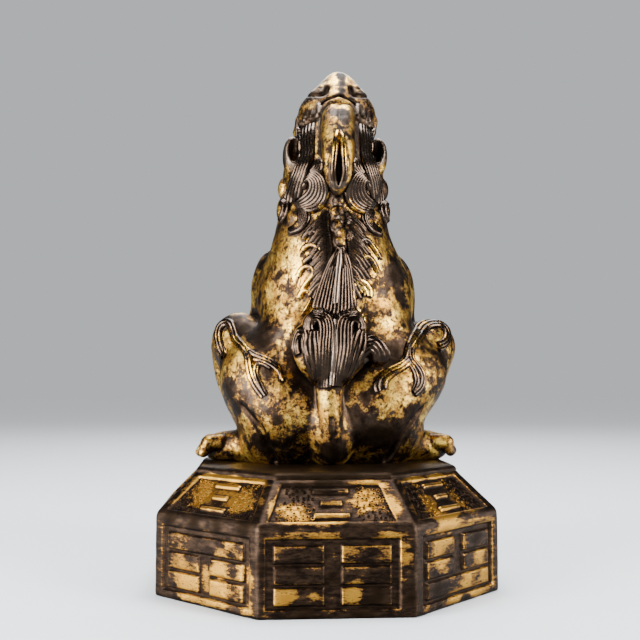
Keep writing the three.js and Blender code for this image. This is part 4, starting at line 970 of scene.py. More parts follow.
# Proud edges take the light rubbed colour: wear on the body and plinth, and a painted highlight on the
# crests of laid lines.
wear_and_highlight = maths(gilding, "MULTIPLY", ramp(gilding, edges, 0.15, 0.7), given.outputs["Polish"])
wear_and_highlight = maths(gilding, "MULTIPLY", wear_and_highlight, unhandled)
bronze_colour = mixed(gilding, wear_and_highlight, bronze_colour, RUBBED_EDGE_AND_HIGHLIGHT)
hearts = ramp(gilding, given.outputs["Bare"], 0.3, 1.0, 0.0, 0.85)
bronze_colour = mixed(gilding, hearts, bronze_colour, PATINA)
# Hollows are painted near black: painted shade.
painted_shade = ramp(gilding, hollows, 0.3, 0.85)
colour = mixed(gilding, gold, bronze_colour, gold_colour)
colour = mixed(gilding, painted_shade, colour, PAINTED_SHADE_COLOUR)

# %% The gilding group: roughness and grain
rough = maths(gilding, "ADD", swing(specks, 0.4), given.outputs["Matt"])
rough = maths(gilding, "ADD", rough, maths(gilding, "MULTIPLY", painted_shade, 0.3))
rough = maths(gilding, "ADD", rough, maths(gilding, "MULTIPLY", hearts, 0.2))
rough = maths(gilding, "SUBTRACT", rough, maths(gilding, "MULTIPLY", wear_and_highlight, 0.1), clamp=True)
height = maths(gilding, "ADD", swing(gold, 0.35), swing(specks, 0.9))
height = maths(gilding, "ADD", height, swing(ragged, 0.8))
for label, result in (("Colour", colour), ("Gold", gold), ("Roughness", rough), ("Height", height)):
    gilding.links.new(result, made.inputs[label])
print("gilding group of", len(gilding.nodes), "nodes")


# %% Materials that use it
GRAIN_DEPTH = 0.25 * MM
EVEN = (1.0, 1.0, 1.0)


def gilt_material(name, gilt, polish, matt=0.38, pale=1.0, stretch=EVEN, relief=0.35):
    """One metal of its own: how much gold, how handled, how matt, how pale and how grainy."""
    material = bpy.data.materials.new(name)
    material.use_nodes = True
    tree = material.node_tree
    tree.nodes.clear()
    coordinates = add(tree, "ShaderNodeTexCoord")
    scale = tuple(s / MM for s in stretch)
    spots = add(tree, "ShaderNodeMapping", {"Vector": coordinates.outputs["Object"], "Scale": scale})
    fields = {f: add(tree, "ShaderNodeAttribute", attribute_name=f).outputs["Fac"]
              for f in ("hollow", "proud", "bare")}
    wear = tree.nodes.new("ShaderNodeGroup")
    wear.node_tree = gilding
    tree.links.new(spots.outputs[0], wear.inputs["Place"])
    for label, field in (("Hollow", "hollow"), ("Proud", "proud"), ("Bare", "bare")):
        tree.links.new(fields[field], wear.inputs[label])
    for label, value in (("Gilt", gilt), ("Polish", polish), ("Matt", matt), ("Pale", pale)):
        wear.inputs[label].default_value = value
    bump = add(tree, "ShaderNodeBump", {"Height": wear.outputs["Height"], "Strength": relief,
                                        "Distance": GRAIN_DEPTH})
    shader = add(tree, "ShaderNodeBsdfPrincipled", {
        "Base Color": wear.outputs["Colour"], "Roughness": wear.outputs["Roughness"],
        "Normal": bump.outputs[0], "Metallic": 1.0,
    })
    output = add(tree, "ShaderNodeOutputMaterial", {"Surface": shader.outputs[0]})
    print(name, "with", len(tree.nodes), "nodes, ends in", output.name)
    return material


figure_gilt = gilt_material("worn_gilt_body", 0.66, polish=0.26)
# The plinth's gold is browner, and its patches lie in bands, as a cloth rubs along its walls.
plinth_gilt = gilt_material("worn_gilt_plinth", 0.44, polish=0.02, matt=0.35, pale=0.14,
                            stretch=(0.8, 0.8, 2.4))
figure.data.materials.append(figure_gilt)
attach(figure, "root")
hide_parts("pixiu_figure")

# %% [markdown]
# ## Hair and ridges laid on the skin
# All over the casting run fine raised lines: the strands of mane and tail, hatched hair on the
# shoulders, and flame ridges on the legs. They are too fine for the clay's grid. Each is a path drawn
# as seen from behind and dropped on to the skin, and Geometry Nodes sweep a small round section along
# it, which keeps every line crisp. A line is seated along the skin's own direction outwards, so it
# stands as high on a steep flank as on the flat, and it dives into the skin at its ends.

# %% The sweeping tree
GEOMETRY, WHOLE, FINISH = "NodeSocketGeometry", "NodeSocketInt", "NodeSocketMaterial"


def cast_in_metal(tree, given, made, geometry):
    """The last nodes of a tree: smooth shading, its finish, and instances made real."""
    smooth = add(tree, "GeometryNodeSetShadeSmooth", {"Geometry": geometry})
    finish = add(tree, "GeometryNodeSetMaterial", {"Geometry": smooth.outputs[0],
                                                   "Material": given.outputs["Finish"]})
    real = add(tree, "GeometryNodeRealizeInstances", {"Geometry": finish.outputs[0]})
    tree.links.new(real.outputs[0], made.inputs["Geometry"])


def sweep_tree():
    tree, given, made, sockets = new_group(
        "GeometryNodeTree", "swept_lines",
        [("Geometry", GEOMETRY, None), ("Sides", WHOLE, 6), ("Thickness", FLOAT, 1.0),
         ("Finish", FINISH, None)],
        [("Geometry", GEOMETRY)],
    )
    lines = add(tree, "GeometryNodeMeshToCurve", {"Mesh": given.outputs["Geometry"]})
    width = add(tree, "GeometryNodeInputNamedAttribute", {"Name": "thickness"}, data_type="FLOAT")
    radius = maths(tree, "MULTIPLY", width.outputs[0], given.outputs["Thickness"])
    lines = add(tree, "GeometryNodeSetCurveRadius", {"Curve": lines.outputs[0], "Radius": radius})
    section = add(tree, "GeometryNodeCurvePrimitiveCircle", {"Resolution": given.outputs["Sides"],
                                                             "Radius": 1.0})
    tubes = add(tree, "GeometryNodeCurveToMesh", {"Curve": lines.outputs[0], "Fill Caps": True,
                                                  "Profile Curve": section.outputs[0]})
    cast_in_metal(tree, given, made, tubes.outputs[0])
    return tree, sockets


SWEEP, SWEEP_SOCKETS = sweep_tree()
print("sweeping tree of", len(SWEEP.nodes), "nodes")


# %% Lines made a piece
def outwards(mesh):
    """A mesh whose faces all look outwards."""
    shell = bmesh.new()
    shell.from_mesh(mesh)
    bmesh.ops.recalc_face_normals(shell, faces=shell.faces)
    shell.to_mesh(mesh)
    shell.free()


LAID = []  # the points of every line laid on the figure, with how far round them the skin is dark


def swept(name, lines, finish, clay, sides=6, shade=0.5):
    """Lines of [x, y, z, thickness] in mm made one piece of fine ridges on the figure."""
    points = np.vstack(lines)
    LAID.append((posed(points[:, :3]), shade))
    edges, start = [], 0
    for line in lines:
        edges += [(start + n, start + n + 1) for n in range(len(line) - 1)]
        start += len(line)
    mesh = bpy.data.meshes.new(name)
    mesh.from_pydata(points[:, :3].tolist(), edges, [])
    mark(mesh, {"thickness": points[:, 3]})
    piece = new_object(name, mesh)
    sweep = piece.modifiers.new("sweep", "NODES")
    sweep.node_group = SWEEP
    sweep[SWEEP_SOCKETS["Sides"]] = sides
    sweep[SWEEP_SOCKETS["Finish"]] = finish
    plain_mesh(piece)
    outwards(piece.data)
    dressed(piece, clay, raised=True)
    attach(piece, "root")
    print(name, "of", len(lines), "lines and", len(piece.data.polygons), "faces")


# %% Drawing on the back
LINE_STEP = 0.7
DIVE, TIP_SHARE = 1.4, 0.2  # how deep a line's ends dive and how thin they are, in thicknesses
FILL_SHARE, LEAST_THICKNESS = 0.25, 0.09


def resampled(path):
    """Points [x, z, thickness] at even steps along a smooth path through the given ones."""
    path = np.asarray(path, float)
    curve = eased(np.column_stack([path[:, :2], np.zeros(len(path)), path[:, 2:]]), 8)
    lengths = np.concatenate([[0], np.cumsum(np.linalg.norm(np.diff(curve[:, :2], axis=0), axis=1))])
    count = max(4, int(lengths[-1] / LINE_STEP) + 1)
    along = np.linspace(0, lengths[-1], count)
    return np.column_stack([np.interp(along, lengths, curve[:, n]) for n in (0, 1, 3)]), along


def drawn(clay, path, thickness=0.4, fade=1.6, lift=0.0):
    """A line through points [x, z] on the back, which thins and dives into the skin at its ends.

    It fades over the given length, and lift is how far its middle is raised beyond its seat.
    """
    path = np.asarray(path, float)
    path = np.column_stack([path[:, :2], np.ones(len(path)) * thickness])
    line, along = resampled(path)
    full = ease(np.minimum(along, along[-1] - along) / fade)
    places = np.column_stack([line[:, 0], back_depth(clay, line[:, :2]), line[:, 1]])
    out = clay.slope(places, 0.8)
    out /= np.linalg.norm(out, axis=1)[:, None]
    rise = line[:, 2] * (LINE_RISE - DIVE * (1 - full)) + lift * full
    tapered = line[:, 2] * (TIP_SHARE + (1 - TIP_SHARE) * full)
    return np.column_stack([places + out * rise[:, None], tapered])


def sheaf(clay, stations, count, thickness=0.35, fade=1.6):
    """Lines side by side between two edges, given as [x, z of one edge, x, z of the other].

    A line's radius is at most a quarter of the gap to the next, which leaves a dark groove.
    """
    stations = np.asarray(stations, float)
    gaps = np.linalg.norm(stations[:, :2] - stations[:, 2:4], axis=1) / (count - 1)
    thick = np.minimum(thickness, np.maximum(FILL_SHARE * gaps, LEAST_THICKNESS))
    lines = []
    for share in np.linspace(0, 1, count):
        path = stations[:, :2] * (1 - share) + stations[:, 2:4] * share
        lines.append(drawn(clay, path, thick, fade))
    return lines


def mirrored(stations):
    """The same path on the beast's other side."""
    flip = np.array([-1, 1] * (len(stations[0]) // 2))
    return (np.asarray(stations, float) * flip).tolist()


BOTH_SIDES = (lambda path: path, mirrored)

# %% Metals of the lines
hair_bronze = gilt_material("grey_hair_bronze", 0.42, polish=0.08, matt=0.25, relief=0.15)
rib_bronze = gilt_material("rubbed_rib_bronze", 0.45, polish=0.4, matt=0.36, relief=0.1)
tail_bronze = gilt_material("dark_tail_bronze", 0.12, polish=0.05, matt=0.22, relief=0.15)
hatched_bronze = gilt_material("hatched_hair_bronze", 0.72, polish=0.05, matt=0.3, relief=0.15)
ridge_bronze = gilt_material("gilt_ridge_bronze", 1.0, polish=0.1, matt=0.25, relief=0.1)

# %% [markdown]
# ## The tail's strands
# The stem is smooth. The strands start where it ends, run up beside each other, and each bundle
# rolls over its curl's eye. A sheaf is drawn by its two outer edges, and the strands between them
# share the width, so they crowd together on the stem and open out above, as real locks do. A rubbed
# midrib, its crest painted light as wear and as a highlight, parts the two halves of tuft and plume.

# %% Tuft and plume
TUFT_SHEAVES = [
    ([[-2.8, 21.4, -0.8, 21.4], [-3.3, 27, -0.9, 27], [-3.6, 32, -1, 33], [-3.3, 36.2, -1, 38],
      [-3.6, 38.5, -1.9, 40.2], [-4.7, 39.5, -3.9, 41.1], [-6.1, 39, -6, 40.6], [-6.6, 37.6, -7.4, 38.8],
      [-6.4, 36.4, -7.7, 36.6]], 4),
    ([[2.8, 21.8, 0.9, 21.8], [3.5, 27, 1.1, 27], [4, 32, 1.3, 33], [4, 36.4, 1.4, 38],
      [4.2, 38.5, 2.4, 40], [5.2, 39.3, 4.3, 40.8], [6.5, 38.7, 6.3, 40.2], [7, 37.6, 7.5, 38.6],
      [6.8, 36.6, 7.8, 37]], 4),
    ([[-3.9, 22, -3, 22], [-5.7, 26, -3.9, 27], [-7, 29.6, -4.5, 31.5], [-7.3, 33, -4.9, 34.4],
      [-6.9, 35.8, -5, 36]], 3),
    ([[3.8, 22.4, 3, 22.4], [5.9, 26.6, 4.1, 27.4], [7.4, 30.6, 4.8, 32.4], [8, 34, 5.6, 35.4],
      [8.2, 35.6, 6.4, 36.4]], 3),
    ([[-6.6, 28.6, -5.9, 28], [-7.8, 31.6, -7.2, 32.4], [-8.1, 34, -7.2, 36], [-8.7, 34.6, -8.5, 37],
      [-9.2, 33.8, -9.8, 35.6], [-9.3, 31.8, -10.4, 33], [-9, 30.4, -10, 30]], 3),
    ([[6, 25.9, 5.1, 25.9], [8, 29.7, 7.8, 31.6], [9.3, 31.2, 9.6, 34.4], [10.5, 30.9, 11.8, 34],
      [11.3, 29.3, 13.2, 31.8], [11.4, 27.9, 13.7, 29.5], [11, 27.2, 12.8, 27.4]], 4),
]
PLUME = [
    [-5.7, 38, 5.7, 38], [-5.6, 41.2, 5.6, 41.2], [-4.7, 46.5, 4.7, 46.5], [-3.7, 51, 3.7, 51],
    [-2.4, 55.4, 2.4, 55.4], [-0.4, 59.5, 0.4, 59.5],
]

# %% Strands and midribs of the tail
strands = []
for stations, count in TUFT_SHEAVES:
    strands += sheaf(skin, stations, count, 0.23, fade=2)
swept("tail_tuft_strands", strands, tail_bronze, skin, shade=1.0)
plume_lines = sheaf(skin, PLUME, 12, 0.24, fade=3)
swept("tail_plume_strands", plume_lines, tail_bronze, skin, shade=1.0)
ribs = [drawn(skin, [[0.1, 22], [0.15, 28], [0.2, 36], [0.1, 40.4]], 0.25, 5, 0.5),
        drawn(skin, [[0.1, 41], [0, 47], [-0.1, 53], [-0.1, 59.5]], 0.2, 4, 0.25)]
swept("tail_midribs", ribs, rib_bronze, skin, shade=0.6)

# %% [markdown]
# ## Mane and snail curls
# Strands fall from the brow beside the horn, and each side gathers into one big snail curl with a
# dot for its eye. The outer strand turns widest and the inner one tightest, so this too is a sheaf
# between two edges. Small curls sit above and below it. The slot in the horn's keel has a bright
# rubbed rim on each side, which is drawn in the same way.

# %% Paths of the mane
SNAIL_CURL = [
    [-7.2, 81.2, -9, 78.7], [-5.6, 81.1, -8.3, 79.5], [-4.2, 79.8, -7.5, 79.1], [-3.2, 77.6, -7.1, 78],
    [-2.9, 75.2, -7.2, 76.8], [-3.9, 72.6, -8, 75.6], [-5.8, 71.1, -9.2, 74.6], [-7.8, 70.7, -10.4, 74],
    [-9.4, 71.4, -11.2, 73.8],
]
FALLING_HAIR = [
    [-7, 97, -10.6, 97], [-7, 92, -10.2, 92.5], [-7, 88, -10.2, 87.5], [-7.6, 84.6, -11.4, 83],
    [-8.8, 81.4, -13, 78.6], [-9.8, 78, -14, 75.6], [-10.6, 75, -14.6, 73.4],
]
SMALL_CURL = [
    [-5.1, 84.8, -5.8, 84.3], [-4.2, 82.9, -5.8, 83.2], [-4.7, 81.2, -6.3, 82.2],
    [-6.6, 80.5, -7.2, 81.4],
]
NECK_CURL = [
    [-9.7, 71.2, -10.6, 71], [-8.4, 70.4, -9.9, 69.7], [-7.9, 69, -10, 68], [-8.4, 67.1, -11.2, 66.4],
    [-10.3, 65.2, -12.2, 65.8], [-12.4, 64.8, -12.9, 65.7],
]
CHEEK_CURL = [
    [-15, 74.8, -15.3, 74.4], [-13.5, 73.8, -14.6, 73.4], [-13.2, 72.4, -14.5, 72],
    [-14, 70.4, -15, 70.6], [-15, 68.9, -15.5, 69.4],
]
EYE_SPIRAL = [[-9.2, 77.4], [-8.9, 78.6], [-8.2, 78.9], [-7.7, 78.3], [-7.9, 77.5], [-8.4, 77.4]]

# %% Mane strands and the horn slot's rims
mane_lines = []
for side in BOTH_SIDES:
    mane_lines += sheaf(skin, side(SNAIL_CURL), 6, 0.18, fade=1.5)
    mane_lines += sheaf(skin, side(FALLING_HAIR), 5, 0.24, fade=3)
    mane_lines += sheaf(skin, side(SMALL_CURL), 4, 0.15, fade=1)
    mane_lines += sheaf(skin, side(NECK_CURL), 5, 0.17, fade=1)
    mane_lines += sheaf(skin, side(CHEEK_CURL), 4, 0.17, fade=1)
    mane_lines.append(drawn(skin, side(EYE_SPIRAL), 0.3, fade=0.8))
swept("mane_strands", mane_lines, hair_bronze, skin, shade=1.0)

SLOT_RIM = [[0.45, 92.3], [0.9, 90], [1.15, 87.3], [1.5, 82.6], [1.6, 79.8], [1.3, 78]]
rims = [drawn(skin, side(SLOT_RIM), 0.32, fade=2.5) for side in BOTH_SIDES]
swept("horn_slot_rims", rims, ridge_bronze, skin, shade=0.3)

# %% [markdown]
# ## Hatched hair and hooked curls on the back
# Fine parallel lines slant down and outwards from the spine, and small hooked curls stand among
# them. The hatching repeats, so it is a loop, and the hooks are drawn one by one where they are.

# %% Hatching beside the spine
HATCH_TOP, HATCH_FOOT, HATCH_PITCH = 69.8, 49.0, 0.7


def hatching(side):
    """Short lines from beside the spine outwards and down, longer and shorter by turns."""
    lines = []
    for n in range(int((HATCH_TOP - HATCH_FOOT) / HATCH_PITCH)):
        z = HATCH_TOP - n * HATCH_PITCH
        start = 2.5 + 0.9 * ease((60 - z) / 12)
        long = 4.8 + 1.0 * math.sin(1.3 * n + side) - 1.6 * ease((56 - z) / 8)
        middle, end = start + 0.55 * long, start + long
        path = [[side * start, z], [side * middle, z - 1.9], [side * end, z - 4.4]]
        lines.append(drawn(skin, path, 0.11, fade=2))
    return lines


back_hair = hatching(-1) + hatching(1)
swept("back_hatched_hair", back_hair, hatched_bronze, skin, sides=5, shade=0.6)

# %% Hooked curls
HOOKS = [
    [[-9.5, 62.2], [-8.6, 63.6], [-7.2, 64.5], [-6.0, 64.4]],
    [[-10.2, 58.5], [-9.4, 59.9], [-7.8, 60.6], [-6.3, 60.2], [-6.0, 59.0], [-7.2, 57.6], [-9.6, 55.8]],
    [[-11.2, 52.0], [-10.6, 53.4], [-9.3, 54.4], [-7.6, 54.5], [-6.6, 53.3], [-7.0, 51.6], [-8.3, 50.2],
     [-9.9, 48.1]],
    [[-10.8, 45.9], [-10.0, 47.3], [-8.6, 48.0], [-6.9, 47.6]],
    [[-6.7, 45.6], [-7.2, 43.8], [-8.6, 41.2]],
    [[6.3, 61.8], [7.2, 62.4], [8.5, 62.0], [9.6, 60.4], [11.6, 57.3]],
    [[5.9, 56.6], [7.0, 57.4], [8.4, 57.0], [9.6, 55.6], [10.8, 53.3]],
    [[9.0, 46.4], [8.9, 48.3], [7.6, 50.0], [5.6, 50.5], [4.6, 49.4], [4.6, 46.4], [5.7, 43.2], [7.2, 41.2],
     [8.0, 38.5]],
    [[8.1, 46.8], [7.8, 48.0], [6.8, 48.9], [5.8, 48.9]],
    [[4.6, 41.6], [5.8, 41.0], [6.9, 39.6]],
]
hook_lines = [drawn(skin, hook, 0.13, fade=2) for hook in HOOKS]
swept("back_hooked_curls", hook_lines, ridge_bronze, skin, shade=0.35)

# %% [markdown]
# ## Flame ridges on the legs
# Each knee carries a flame: a pair of ridges with a groove between, that loops over the knee and runs
# down the thigh. The loops are drawn as pairs, one line offset to each side of the flame's middle,
# and the tongues that branch off them line by line.

# %% Paths of the leg flames
KNEE_LOOPS = [
    [[-31.8, 29.9], [-33.2, 32.9], [-34, 36.2], [-33.6, 38.4], [-32.2, 39.7], [-30.8, 39.4],
     [-29.9, 37.4], [-28.7, 34.4], [-26.7, 32.4], [-25.2, 30.5], [-24.1, 26.4], [-23.1, 23.9],
     [-21.6, 21.4], [-19.7, 18.9]],
    [[29.3, 35.3], [31.2, 36.2], [32.5, 38], [32.4, 40.2], [31.1, 41.6], [28.7, 41.8], [26.3, 40.9],
     [24.4, 38.6], [22.3, 36.2], [20.7, 33.7], [19.7, 31.6], [19.6, 30], [20.3, 28.6], [21.7, 27.5],
     [23.2, 25.9], [23.5, 23.8], [22.9, 21.5], [21.4, 19.8]],
]
THIGH_FLAMES = [
    [[-29.4, 36.5], [-27.9, 34.3], [-25.9, 32.1], [-23.1, 30.1], [-20.5, 29.1], [-18.3, 28],
     [-16.2, 26.3], [-14.4, 24.3], [-12.9, 23.3]],
    [[-23.1, 28.9], [-20.5, 28.3], [-17.9, 27], [-15.8, 25.2], [-14.4, 23.5]],
    [[-19.7, 19.6], [-21.3, 22.4], [-22.4, 24.9], [-22.5, 26.8], [-21.8, 27.8], [-20.5, 27.6],
     [-18.6, 26.6]],
    [[29, 42.6], [26.8, 42.4], [24.6, 40.9], [22.2, 37.9], [20.1, 34.8], [19, 32.5], [18.6, 30.5],
     [17.9, 28.9], [16.9, 28]],
    [[19.3, 29.2], [17.5, 27.7], [15.5, 26.4], [14, 24.9], [13, 23.4], [12.6, 21.4], [13, 20.2]],
    [[19.7, 28.3], [17.9, 26.7], [15.9, 25.6], [14.6, 24.2], [13.9, 22.7], [13.8, 21]],
    [[19.8, 27.6], [20.8, 26.4], [21.6, 24.8], [21.9, 22.8], [21.2, 20.6]],
    [[29.2, 33.9], [30.9, 34.7], [32.4, 36.4]],
]


FLAME_GAP, FLAME_THICKNESS = 0.9, 0.12


def paired(clay, path):
    """Two ridges side by side, half the gap to each side of the path."""
    path = np.asarray(path, float)
    along = np.gradient(path, axis=0)
    across = np.column_stack([-along[:, 1], along[:, 0]]) / np.linalg.norm(along, axis=1)[:, None]
    return [drawn(clay, path + turn * FLAME_GAP / 2 * across, FLAME_THICKNESS, fade=3)
            for turn in (-1, 1)]


# %% Leg flames
flame_lines = [line for loop in KNEE_LOOPS for line in paired(skin, loop)]
flame_lines += [drawn(skin, flame, 0.13, fade=3) for flame in THIGH_FLAMES]
swept("leg_flame_ridges", flame_lines, ridge_bronze, skin, shade=0.25)

# %% [markdown]
# ## Painted shade under the hair
# Between two strands lies a groove, and its skin is painted near black as shade. The skin's
# marks are raised round every laid line, found with a search tree, which costs a second and saves
# modelling each groove.

# %% Painted shade beside the laid lines
LINE_HALF, SEARCH_EDGE = 0.35, 2  # half a line's width, and the margin of the box searched round it


def shade_under_lines(piece):
    """Skin near a laid line marked as shut in and bare, which paints shade there, fading over that line's
    own reach.
    """
    places, _ = points_and_normals(piece.data)
    places = places / MM
    under = np.zeros(len(places))
    for points, reach in LAID:
        tree = KDTree(len(points))
        for n, point in enumerate(points):
            tree.insert(point, n)
        tree.balance()
        low, high = points.min(0) - SEARCH_EDGE, points.max(0) + SEARCH_EDGE
        near = np.nonzero(((places > low) & (places < high)).all(1))[0]
        away = np.array([tree.find(places[n])[2] for n in near])
        under[near] = np.maximum(under[near], ease(1 - (away - LINE_HALF) / reach))
    # Shut in and bare together take the gold off and turn the skin near black: painted shade between the
    # lines.
    for field, share in (("hollow", 0.8), ("bare", 0.9)):
        mark(piece.data, {field: np.maximum(marked(piece.data, field), share * under)})
    piece.data.update()
    print("skin points under hair:", int((under > 0.5).sum()))


shade_under_lines(figure)

# %% [markdown]
# ## The plinth
# The plinth is one casting: eight upright faces with a trigram in a sunk panel, eight sloping faces
# with plain strokes on a punched ground, and a rounded rim. It is ruled: one grid runs round it, whose
# columns and rows lie exactly where panels and bars begin and end. So each rubbed edge has its own
# narrow strip of faces, which a subdivided or remeshed block wouldn't give.

# %% Sizes and rows of the plinth
HALF_SIDE = math.pi / 8
FOOT_RADIUS = -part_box("plinth")[0].x / MM / math.cos(HALF_SIDE)
TOP_RADIUS, SLOPE_HEIGHT, RIM_HEIGHT = 37.0, 12.0, 1.9
CORNER_REACH, BEND_REACH = 0.65, 1.3  # how far the corners and the bend over the wall are rounded
# Each side's bars from the foot up: 1 is whole and 0 is broken in the middle.
TRIGRAMS = [(0, 0, 0), (1, 0, 0), (1, 0, 1), (1, 1, 0), (1, 1, 1), (0, 1, 1), (0, 1, 0), (0, 0, 1)]
PANEL_DEPTH, SLOPE_PANEL_DEPTH = 0.9, 0.8
PANEL_HALF = FOOT_RADIUS * math.sin(HALF_SIDE) - 2.9
PANEL_FOOT, PANEL_TOP = 2.3, WALL_HEIGHT - 2.8
BAR_GAP, BAR_FOOT, BAR_TOP = 0.9, PANEL_FOOT + 0.9, PANEL_TOP - 1.6
BAR_PITCH = (BAR_TOP - BAR_FOOT + BAR_GAP) / 3
BAR_HALF, BREAK_HALF = PANEL_HALF - 2.1, 2.15
FALL = (FOOT_RADIUS - TOP_RADIUS) * math.cos(HALF_SIDE)
SLANT = math.hypot(FALL, SLOPE_HEIGHT)
SLOPE_PANEL_LOW, SLOPE_PANEL_HIGH = 1.9, SLANT * (1 - RIM_HEIGHT / SLOPE_HEIGHT) - 1.2
STROKE_ROWS, STROKE_HALF_WIDTH, SLOPE_FRAME = 3, 0.6, 3.0
STROKE_PITCH = (SLOPE_PANEL_HIGH - SLOPE_PANEL_LOW) / STROKE_ROWS


# %% Rows and columns at the edges of panels and bars
def slope_radius(v):
    return FOOT_RADIUS + (TOP_RADIUS - FOOT_RADIUS) * v / SLANT


def slope_panel_half(v):
    return slope_radius(v) * math.sin(HALF_SIDE) - SLOPE_FRAME


STROKE_REACH = 0.36 * slope_panel_half(SLOPE_PANEL_HIGH)
SHORT_STROKE = 0.6  # the middle stroke's share of the others' length
BARS = [(BAR_FOOT + n * BAR_PITCH, BAR_FOOT + (n + 1) * BAR_PITCH - BAR_GAP) for n in range(3)]
STROKES = [(SLOPE_PANEL_LOW + (n + 0.5) * STROKE_PITCH - STROKE_HALF_WIDTH,
            SLOPE_PANEL_LOW + (n + 0.5) * STROKE_PITCH + STROKE_HALF_WIDTH) for n in range(STROKE_ROWS)]
EDGE_HALF = 0.15  # half the width of an edge's own strip of faces
EDGE_STEPS = (-0.42, -EDGE_HALF, EDGE_HALF, 0.42)
PANEL_SHIFT = {0: -1.0}  # the near face's panel isn't quite in the middle


def spread(keys, start, end, fills):
    """Places from start to end, close together at each key and evenly filled between."""
    places, left = [start], start
    for key, fill in zip([*keys, None], fills):
        right = end if key is None else key + EDGE_STEPS[0]
        places += list(np.linspace(left, right, fill + 2)[1:-1])
        if key is not None:
            places += [key + step for step in EDGE_STEPS]
            left = key + EDGE_STEPS[-1]
    return places + [end]


wall_keys = [PANEL_FOOT, *[edge for bar in BARS for edge in bar], PANEL_TOP]
wall_rows = spread(sorted(wall_keys), 0.8, WALL_HEIGHT - BEND_REACH, [1, 0, 4, 0, 4, 0, 4, 1, 2])
slope_keys = sorted([SLOPE_PANEL_LOW, *[edge for stroke in STROKES for edge in stroke], SLOPE_PANEL_HIGH])
slope_end = SLANT * (1 - RIM_HEIGHT / SLOPE_HEIGHT)
slope_rows = spread(slope_keys, BEND_REACH, slope_end, [1, 1, 1, 2, 1, 2, 1, 1, 2])
print(len(wall_rows), "rows on the wall and", len(slope_rows), "on the slope")

# %% Relief of the panels
FAR = 50.0
RUB_DEPTH, RUB_REACH = 0.09, 0.25


def box_gap(u, v, half, low, high):
    """Signed distance to a rectangle in a face, under nought inside."""
    return np.maximum(np.abs(u) - half, np.maximum(low - v, v - high))


def wall_gap(side, u, v):
    """Signed distance to the sunk part of a wall: its panel less the bars left standing."""
    panel = box_gap(u, v, PANEL_HALF, PANEL_FOOT, PANEL_TOP)
    bars = np.full_like(panel, FAR)
    for whole, (low, high) in zip(TRIGRAMS[side], BARS):
        bar = box_gap(u, v, BAR_HALF, low, high)
        if not whole:
            bar = np.maximum(bar, BREAK_HALF - np.abs(u))
        bars = np.minimum(bars, bar)
    return np.maximum(panel, -bars)


def slope_gap(u, v):
    """The same for a slope, with plain strokes, the middle one shorter, in place of the writing."""
    panel = box_gap(u, v, slope_panel_half(v), SLOPE_PANEL_LOW, SLOPE_PANEL_HIGH)
    strokes = np.full_like(panel, FAR)
    for row, (low, high) in enumerate(STROKES):
        reach = STROKE_REACH * (SHORT_STROKE if row % 2 else 1.0)
        strokes = np.minimum(strokes, box_gap(u, v, reach, low, high))
    return np.maximum(panel, -strokes)


def relief(gap, depth):
    """Height over the face: sunk inside, with the raised side's edge rubbed round."""
    sunk = ease((EDGE_HALF - gap) / (2 * EDGE_HALF))
    rubbed = RUB_DEPTH * np.exp(-np.maximum(gap - EDGE_HALF, 0) / RUB_REACH) * (gap > 0)
    return -depth * sunk - rubbed * (1 - sunk)


# %% Unevenness
CELL_PRIMES, SEED_PRIME = (374761393, 668265263, 2147483647), 1274126177
ALL_BITS, LOW_BITS = 0xFFFFFFFF, 0xFFFF


def lumps(points, size, seed):
    """Smooth heights between -1 and 1, in lumps of the given size, the same each time for a seed."""
    scaled = np.asarray(points) / size
    cell = np.floor(scaled).astype(np.int64)
    share = ease(scaled - cell)
    total = np.zeros(len(scaled))
    for corner in range(8):
        bits = np.array([(corner >> axis) & 1 for axis in range(3)])
        mix = (((cell + bits) * CELL_PRIMES).sum(1) + seed * SEED_PRIME) & ALL_BITS
        mix = ((mix ^ (mix >> 13)) * SEED_PRIME) & ALL_BITS
        chance = ((mix ^ (mix >> 16)) & LOW_BITS) / (LOW_BITS / 2) - 1
        weight = np.prod(np.where(bits, share, 1 - share), axis=1)
        total += weight * chance
    return total


# %% The rows of the ruled grid
COLUMN_FILLS_WALL, COLUMN_FILLS_SLOPE = [2, 16, 1, 3], [3, 1, 15, 3]


def columns(radius, keys, fills):
    end = radius * math.sin(HALF_SIDE) - CORNER_REACH
    half = spread(keys, 0.0, end, fills)
    return np.array([-u for u in half[:0:-1]] + half)


def wall_columns(radius):
    return columns(radius, [BREAK_HALF, BAR_HALF, PANEL_HALF], COLUMN_FILLS_WALL)


def slope_columns(v):
    keys = [SHORT_STROKE * STROKE_REACH, STROKE_REACH, slope_panel_half(v)]
    return columns(slope_radius(v), keys, COLUMN_FILLS_SLOPE)


# Corner radius and height of the rounded foot and of the rim with its little step inwards.
FOOT_PROFILE = ((49.3, 0.0), (49.72, 0.1), (49.93, 0.38))
RIM_PROFILE = ((38.85, 31.72), (38.86, 31.95), (38.95, 32.2), (38.85, 32.6), (38.55, 32.98),
               (38.1, 33.27), (37.5, 33.48), (36.8, 33.56), (35.5, 33.6), (33.0, 33.6), (29.0, 33.6))
OUT_OF_WALL, OUT_OF_BEND, OUT_OF_RIM = (1.0, 0.0), (0.88, 0.47), (0.3, 0.95)


